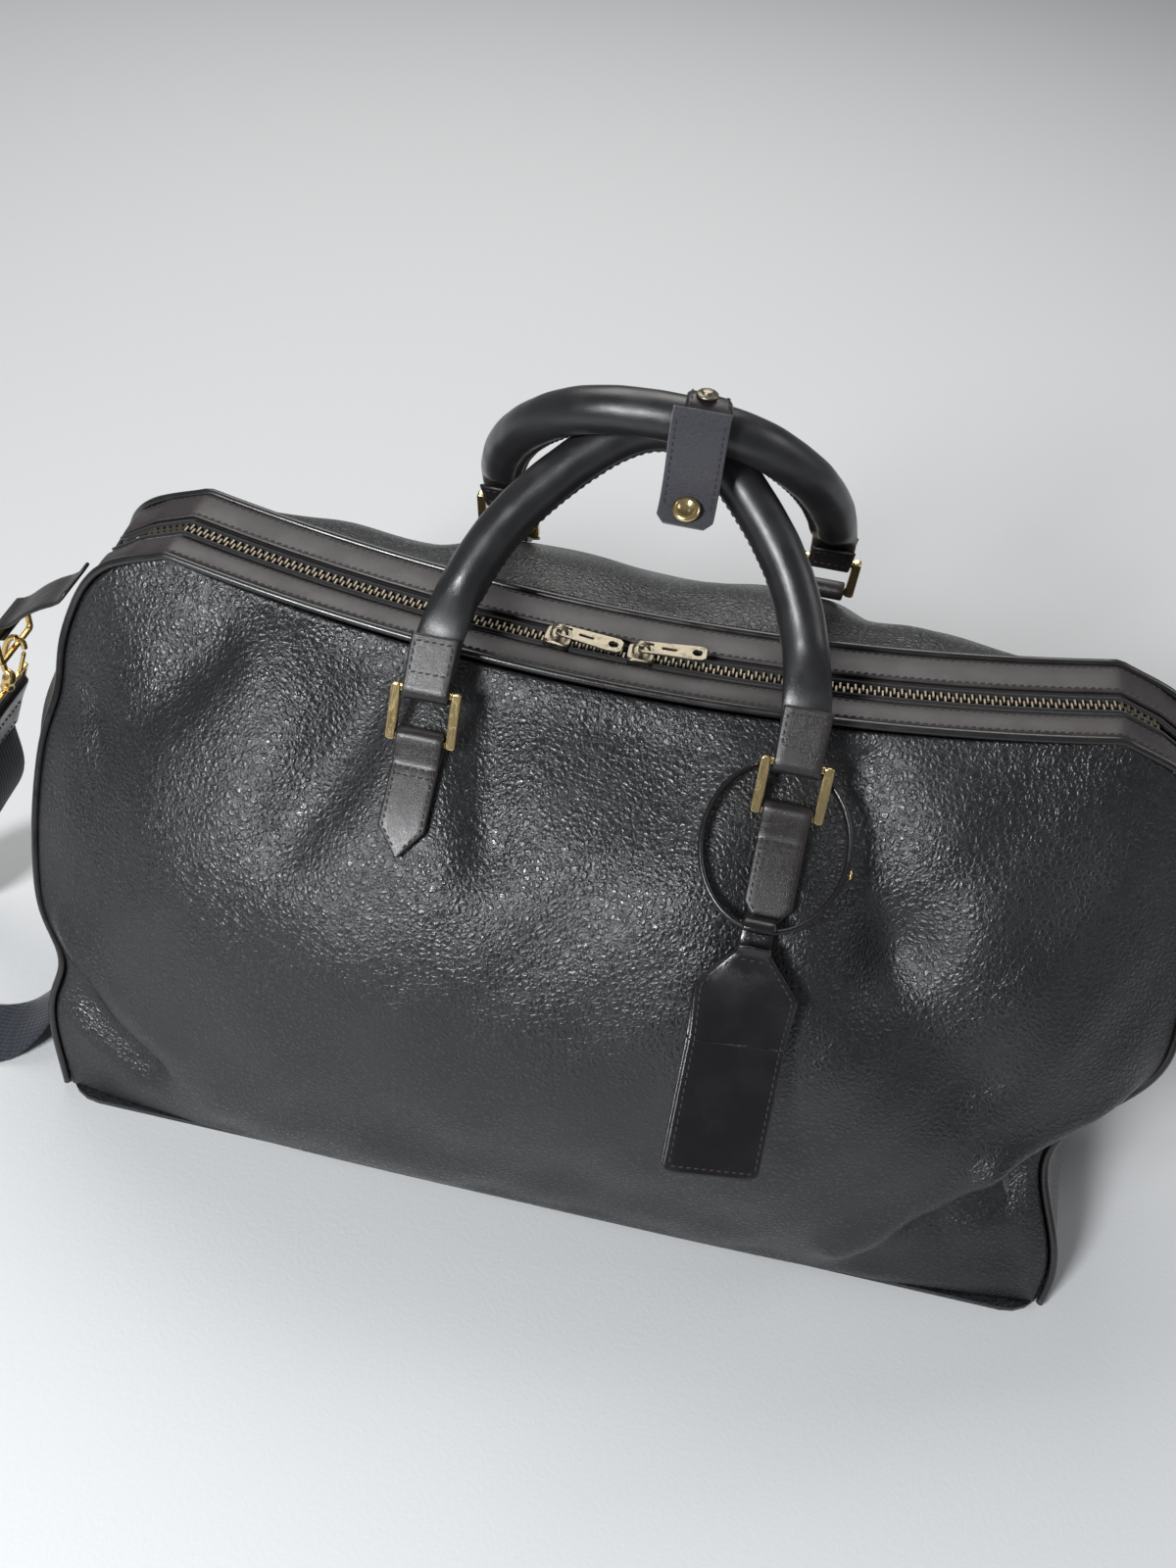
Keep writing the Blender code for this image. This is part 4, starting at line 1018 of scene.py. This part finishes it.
def make_keeper():
    """Sleeve, snap button and flap with its eyelet, all on the back handle."""
    line = handle_line(1, 56)
    line = line[np.abs(line[:, 0] - KEEPER_X) < KEEPER_W / 2]
    path = spline(line, 4)
    mid = path[2]
    fine = resample(path, 20)
    a, b = frames(fine, Y)
    edge = np.minimum(np.arange(21), np.arange(21)[::-1]) / 2.0
    radii = HANDLE_R + GAP + 0.0003 + 0.0017 * np.sqrt(np.clip(edge, 0.05, 1))
    piece("keeper_sleeve", *sweep(fine, a, b, [circle(r, 40) for r in radii]), SMOOTH,
          "back_grip", ["keeper_band"])
    rows = []
    for at in (2, 18):
        ring = np.array([fine[at] + a[at] * u + b[at] * v
                         for u, v in circle(HANDLE_R + 0.0024, 40)])
        rows.append(stitches(ring, unit(ring - fine[at]), pitch=0.0032, length=0.0022))
    piece("keeper_sleeve_stitches", *joined(rows), THREAD, "back_grip")

    reach = HANDLE_R + 0.0042
    fold = [(-reach * 0.72, reach * 0.86), (-reach * 0.98, reach * 0.50), (-reach * 1.05, 0.0),
            (-reach * 1.04, -0.010), (-reach * 1.06, -0.019), (-reach * 1.30, -0.0275),
            (-reach * 1.90, -0.0315)]
    flap = np.array([mid + Y * y + Z * z for y, z in spline(fold, 44)])
    left = arc_length(flap)[-1] - arc_length(flap)
    widths = (KEEPER_W + 0.001) * np.sqrt(np.clip(0.55 + left / 0.008, 0, 1))
    piece("keeper_tongue", *ribbon(flap, X, KEEPER_W, 0.0017, widths), SUEDE, "keeper",
          ["keeper_flap"])
    a, b = frames(flap, X)
    sign = np.sign(b[20] @ -Y)
    inner = slice(4, 38)
    rows = [stitches((flap + X * s * (widths / 2 - 0.0020)[:, None] + b * sign * 0.00085)[inner],
                     (b * sign)[inner], pitch=0.0031, length=0.0021) for s in (-1, 1)]
    piece("keeper_tongue_stitches", *joined(rows), THREAD, "keeper")

    coarse = np.array([mid + Y * y + Z * z for y, z in spline(fold, 10)])
    along = unit(coarse[-1] - coarse[-3])
    out = np.cross(along, X)
    out = out * (1 if out[2] > 0 else -1)
    base = coarse[-2] - along * 0.001 + out * 0.0032
    eyelet = [(0.0030, 0.0003), (0.0034, 0.0000), (0.0057, 0.0001), (0.0058, 0.0006),
              (0.0050, 0.0013), (0.0040, 0.0016), (0.0033, 0.0014), (0.0028, 0.0006)]
    piece("snap_eyelet", *lathe(eyelet, base, out), BRASS, "keeper", ["snap_socket"])
    up = unit(np.array([0, 0.02, 1.0]))
    foot = mid + up * (HANDLE_R + 0.0030)
    stud = [(0.0044, 0.0000), (0.0045, 0.0006), (0.0040, 0.0011), (0.0026, 0.0012),
            (0.0024, 0.0016), (0.0026, 0.0019), (0.0018, 0.0022), (0.0005, 0.0023)]
    piece("snap_button", *lathe(stud, foot, up), ANTIQUE, "back_grip", ["snap_stud"])


# ---------------------------------------------------------------- luggage tag
TAG_X, TAG_W, TAG_LEN = 0.0775, 0.044, 0.104
HOOP_W, HOOP_T = 0.0056, 0.0024
TAG_TWIST = 22.0


def hoop_ends():
    """Top and bottom of the tag hoop where it leans on the front of the bag."""
    points, out = slope_profile(0, TAG_X, 0.14, 140)
    return points[22] + out[22] * 0.0080, points[93] + out[93] * 0.0125


def tag_turn(down):
    """Angle the tag has turned at a distance below its hoop."""
    return math.radians(TAG_TWIST) * ease(np.asarray(down, float), 0.010, 0.050)


def tag_direction(low, wrap):
    """Steepest hang of the tag that still clears the front of the bag."""
    points, out = slope_profile(0, TAG_X, 0.24, 240)
    for tilt in np.radians(np.arange(-2, 50, 0.5)):
        way = np.array([0, -math.sin(tilt), -math.cos(tilt)])
        away = np.cross(way, X)
        away = away * (1 if away[1] < 0 else -1)
        base = low - away * wrap
        gaps = []
        for d in np.arange(0.004, TAG_LEN, 0.004):
            k = int(np.argmin(np.linalg.norm(points - base - way * d, axis=1)))
            half = np.interp(d, (0.008, 0.030), (0.007, TAG_W / 2))
            gaps.append(np.dot(base + way * d - points[k], out[k])
                        - half * math.sin(tag_turn(d)))
        if min(gaps) > TRIM / 2 + 0.0035:
            break
    return way, away


def make_tag():
    """Hoop with its rivet, and the two sewn layers of the tag."""
    top, low = hoop_ends()
    centre, half = (top + low) / 2, np.linalg.norm(low - top) / 2
    down = unit(low - top)
    normal = unit(np.cross(down, X))
    turns = np.linspace(0, 2 * math.pi, 120, endpoint=False)
    path = np.array([centre - down * half * math.cos(t) + X * 0.031 * math.sin(t)
                     for t in turns])
    along = unit(np.roll(path, -1, axis=0) - np.roll(path, 1, axis=0))
    across = np.broadcast_to(normal, path.shape)
    outline = [lozenge(HOOP_W, HOOP_T)] * len(path)
    piece("tag_hoop_strap", *sweep(path, across, np.cross(along, across), outline, True), TAG,
          "tag_loop", ["tag_hoop"])
    rivet = centre + X * (0.031 + HOOP_T / 2 + 0.0002) + down * 0.006
    head = [(0.0023, 0.0), (0.0023, 0.0006), (0.0019, 0.0011), (0.0009, 0.0014), (0.0003, 0.0014)]
    piece("tag_rivet_head", *lathe(head, rivet, X, 24), BRASS, "tag_loop", ["tag_rivet"])

    wrap, neck = 0.0052, 0.014
    way, away = tag_direction(low, wrap)
    drops = np.concatenate([[0.006], np.arange(0.010, 0.051, 0.002), [0.078, TAG_LEN]])
    squeeze = np.interp(drops, (0.006, 0.010, 0.017, 0.022), (0.0, 0.0018, 0.0034, 0.0037))
    for sign, name in ((-1, "back"), (1, "front")):
        turn = tag_turn(drops)[:, None]
        facing = away * np.cos(turn) + X * np.sin(turn)
        path = list(low + way * drops[:, None] + facing * sign * (wrap - squeeze)[:, None])
        if sign < 0:
            path = arc(low, wrap, away, -way, [5, 45, 90, 135, 175]) + path
        path = spline(np.array(path), 110)
        hang = (path - low) @ way
        turn = tag_turn(hang)[:, None]
        facing = away * np.cos(turn) + X * np.sin(turn)
        across = X * np.cos(turn) - away * np.sin(turn)
        widths = np.interp(hang, [0.0, 0.0085, 0.026, TAG_LEN], [neck, neck, TAG_W, TAG_W])
        corner = np.clip((TAG_LEN - hang) / 0.003, 0, 1)
        widths = widths - 0.003 * (1 - np.sqrt(1 - (1 - corner) ** 2)) * 2
        widths = np.where(hang < 0.004, neck, widths)
        piece(f"tag_{name}_leather", *ribbon(path, across, TAG_W, TRIM, widths), TAG, "tag",
              [f"tag_{name}"], slot="edge")
        if sign > 0:
            keep = (hang > 0.009) & (hang < TAG_LEN - 0.003)
            surface = path + facing * TRIM / 2
            rows = [stitches((surface + across * s * (widths / 2 - 0.0026)[:, None])[keep],
                             facing[keep], pitch=0.0032) for s in (-1, 1)]
            spread = np.linspace(-1, 1, 17)[:, None]
            ends = surface[-1] - way * 0.0028 + spread * across[-1] * (TAG_W / 2 - 0.0030)
            rows.append(stitches(ends, facing[-1], pitch=0.0032))
            at = int(np.argmin(abs(hang - 0.012)))
            neck_row = surface[at] + spread * across[at] * (neck / 2 - 0.0015)
            rows.append(stitches(neck_row, facing[at], pitch=0.003))
            piece("tag_stitches", *joined(rows), THREAD, "tag")


# ---------------------------------------------------------------- ends: tabs, hooks, strap
HOOK_WIRE, HOOK_HALF, HOOK_TALL = 0.0016, 0.0050, 0.0300
HOOK_SLANT = 20.0
EYE_W, EYE_H, EYE_BAR = 0.0435, 0.0120, 0.0024


def make_end(side, name):
    """Roll tab, ring, spring hook with its gate, and the strap's eye and folded end."""
    bar = np.array([side * END_X, END_Y, END_TAB_Z])
    wrap = 0.0034
    out, up = X * side, Z
    path = [bar - out * 0.0408 + up * 0.0345, bar - out * 0.0354 + up * 0.0275,
            bar - out * 0.0250 + up * 0.0215, bar - out * 0.0160 + up * 0.0150,
            bar - out * 0.0070 + up * 0.0070]
    path = spline(path + arc(bar, wrap, out, up, range(100, -141, -40)), 16)
    piece("end_tab_leather_" + name, *ribbon(path, Y, 0.026, TRIM), SMOOTH, "bag",
          ["end_tab_" + name])
    centre = bar - up * (END_RING_H - 0.0026) / 2
    piece("end_loop_" + name, *frame_ring(centre, Y, up, 0.0330, END_RING_H, 0.0026,
                                          0.0026), HOOK, "side_ring_" + name,
          ["end_ring_" + name])

    tall = HOOK_TALL / 2 - HOOK_WIRE
    low_bar = bar - up * (END_RING_H - 0.0026)
    slant = math.radians(HOOK_SLANT)
    out, up = (np.array([side * math.cos(slant), 0, math.sin(slant)]),
               np.array([-side * math.sin(slant), 0, math.cos(slant)]))
    middle = low_bar + up * (0.0013 * 1.42 + GAP + HOOK_WIRE + 0.0014 - tall)

    def at(degrees):
        c, s = math.cos(math.radians(degrees)), math.sin(math.radians(degrees))
        return (middle + out * HOOK_HALF * math.copysign(abs(c) ** 0.7, c)
                + up * tall * math.copysign(abs(s) ** 0.8, s))
    stem = [middle - up * (tall + d) for d in (0.0105, 0.0072, 0.0040, 0.0008)]
    path = np.array(stem + [at(d) for d in range(-68, 151, 14)])
    radii = np.array([0.0036, 0.0030, 0.0036, 0.0026] + [HOOK_WIRE] * (len(path) - 4))
    fine = spline(np.column_stack([path, radii]), 110)
    piece("hook_bow_" + name, *tube(fine[:, :3], fine[:, 3], 20), HOOK, "clip_" + name,
          ["hook_" + name])
    low, high = middle - out * 0.0047 - up * 0.0098, middle - out * 0.0045 + up * 0.0058
    tongue = np.linspace(low, high, 9)
    radii = [0.0009, 0.0012, 0.0012, 0.0011, 0.0011, 0.0011, 0.0011, 0.0012, 0.0009]
    piece("gate_tongue_" + name, *tube(tongue, radii, 16), HOOK, "clip_gate_" + name,
          ["gate_" + name])

    eye = stem[0] - up * (GAP + EYE_H / 2)
    eye_piece = piece("strap_loop_" + name,
                      *frame_ring(eye, Y, up, EYE_W, EYE_H, EYE_BAR, EYE_BAR, 0.0022),
                      HOOK, "bag", ["strap_eye_" + name])
    pin = eye - up * (EYE_H - EYE_BAR) / 2
    wrap = EYE_BAR * 0.71 + GAP + TRIM / 2 + 0.0003
    path = [pin + out * 0.0022 - up * d for d in (0.034, 0.022, 0.012)]
    path += arc(pin, wrap, out, up, [-15, 30, 90, 150, 195])
    path += [pin - out * 0.0022 - up * d for d in (0.012, 0.022, 0.034)]
    end_piece = piece("strap_fold_" + name,
                      *ribbon(spline(path, 60), Y, WEBBING_W, TRIM), SMOOTH, "bag",
                      ["strap_end_" + name])
    rows = []
    for sign in (-1, 1):
        face_line = pin + out * sign * (0.0022 + TRIM / 2)
        for d in (0.014, 0.031):
            cross = np.linspace(-1, 1, 13)[:, None] * Y * (WEBBING_W / 2 - 0.003)
            rows.append(stitches(face_line - up * d + cross, out * sign))
    thread_piece = piece("strap_fold_stitches_" + name, *joined(rows), THREAD, "bag")
    return pin - up * 0.0345, [eye_piece, end_piece, thread_piece]


ON_EDGE, FLAT_DOWN = WEBBING_W / 2 + 0.0004, WEBBING_T / 2 + 0.0003


def strap_route(left, right):
    """Points of the webbing's middle line, each with the direction of its width."""
    y_axis, up, front = (0, 1, 0), (0, 0, 1), (0.28, -0.96, 0)
    loop = [(-0.3350, -0.019, 0.088, *y_axis), (-0.3520, -0.025, 0.055, 0, 0.95, 0.3),
            (-0.3740, -0.038, 0.029, 0, 0.6, 0.8), (-0.3960, -0.060, ON_EDGE, *up),
            (-0.4050, -0.092, ON_EDGE, *up), (-0.3880, -0.124, 0.0165, 0, -0.6, 0.8),
            (-0.3560, -0.132, 0.0060, 0.2, -0.95, 0.25), (-0.3220, -0.122, FLAT_DOWN, *front),
            (-0.3030, -0.1155, 0.0020, *front), (-0.2900, -0.106, 0.0075, 0.62, -0.68, 0.4),
            (-0.2835, -0.088, 0.0150, 0.55, -0.25, 0.8)]
    behind = [(x, y, ON_EDGE, *up) for x, y in (
        (-0.2820, -0.060), (-0.2840, 0.040), (-0.2840, 0.115), (-0.2720, 0.157),
        (-0.2350, 0.178), (-0.1500, 0.180), (0.0300, 0.180), (0.2000, 0.178), (0.2760, 0.160),
        (0.3240, 0.115), (0.3560, 0.060))]
    rise = [(0.3680, 0.022, 0.0220, 0, 0.25, 0.97), (0.3640, -0.004, 0.0350, 0, 0.7, 0.7),
            (0.3490, -0.016, 0.0590, 0, 0.95, 0.3), (0.3330, -0.018, 0.0880, *y_axis)]
    return np.array([(*left, *y_axis)] + loop + behind + rise + [(*right, *y_axis)], float)


def make_strap():
    """Webbing from the left eye, over the ground and behind the bag, to the right eye."""
    left, left_pieces = make_end(-1, "left")
    right, right_pieces = make_end(1, "right")
    line = spline(strap_route(left, right), 280)
    path, width = line[:, :3].copy(), unit(line[:, 3:])
    a, b = frames(path, width)
    half, t = WEBBING_W / 2, WEBBING_T / 2
    lift = np.abs(a[:, 2]) * half + np.abs(b[:, 2]) * t + 0.0003
    path[:, 2] = np.maximum(path[:, 2], lift)
    webbing = piece("strap_webbing", *ribbon(path, a, WEBBING_W, WEBBING_T), WEBBING, "bag",
                    ["webbing"])


make_strap()
make_panels()
make_end_panels()
make_top()
make_sliders()
make_carriers()
make_keeper()
make_tag()


# ---------------------------------------------------------------- pieces kept from the frame
def dress(node, look, bevel=0.0006):
    """Gives a CAD solid that stays its look and softened edges."""
    obj = NODES[node]
    obj.data.materials.clear()
    obj.data.materials.append(look)
    cut = obj.modifiers.new("bevel", "BEVEL")
    cut.width, cut.segments, cut.limit_method = bevel, 3, "ANGLE"


def make_kept():
    board = Look("stiff_board", (0.16, 0.12, 0.08), 0.8)
    board.bump(board.noise(900.0, 3.0), 0.0002, 0.5)
    rope = cloth("rope_core", (0.42, 0.36, 0.28))
    dress("base_panel", HIDE, 0.0012)
    dress("base_board", board.material)
    dress("front_handle_core", rope)
    dress("back_handle_core", rope)


make_kept()


# ---------------------------------------------------------------- floor and light
def make_stage():
    look = Look("pale_floor", (0.62, 0.63, 0.64), 0.75)
    look.bump(look.noise(420.0, 3.0), 0.0005, 0.35)
    half = 3.0
    verts = [(-half, -half, 0), (half, -half, 0), (half, half, 0), (-half, half, 0)]
    floor = piece("floor", verts, [(0, 1, 2, 3)], look.material, None)


def lamp(name, place, target, size, power, colour=(1, 1, 1)):
    data = bpy.data.lights.new(name, "AREA")
    data.shape, data.size, data.size_y = "RECTANGLE", size[0], size[1]
    data.energy, data.color = power, colour
    obj = bpy.data.objects.new(name, data)
    obj.location = place
    obj.rotation_euler = (Vector(target) - Vector(place)).to_track_quat("-Z", "Y").to_euler()
    bpy.context.scene.collection.objects.link(obj)


def make_light():
    world = bpy.data.worlds.new("soft_room")
    world.use_nodes = True
    world.node_tree.nodes["Background"].inputs["Color"].default_value = (0.92, 0.95, 1.0, 1)
    world.node_tree.nodes["Background"].inputs["Strength"].default_value = 0.20
    bpy.context.scene.world = world
    lamp("window", (-0.55, -1.20, 1.06), (-0.02, -0.05, 0.18), (0.34, 0.28), 27,
         (0.97, 0.985, 1.0))
    lamp("back_wall", (-0.35, 1.15, 1.75), (0, 0.1, 0.0), (1.7, 1.2), 27, (1.0, 0.985, 0.955))
    lamp("right_edge", (1.4, 0.3, 1.1), (0.05, 0, 0.15), (0.7, 0.7), 4)


make_stage()
make_light()
bpy.context.scene.view_settings.view_transform = "Standard"
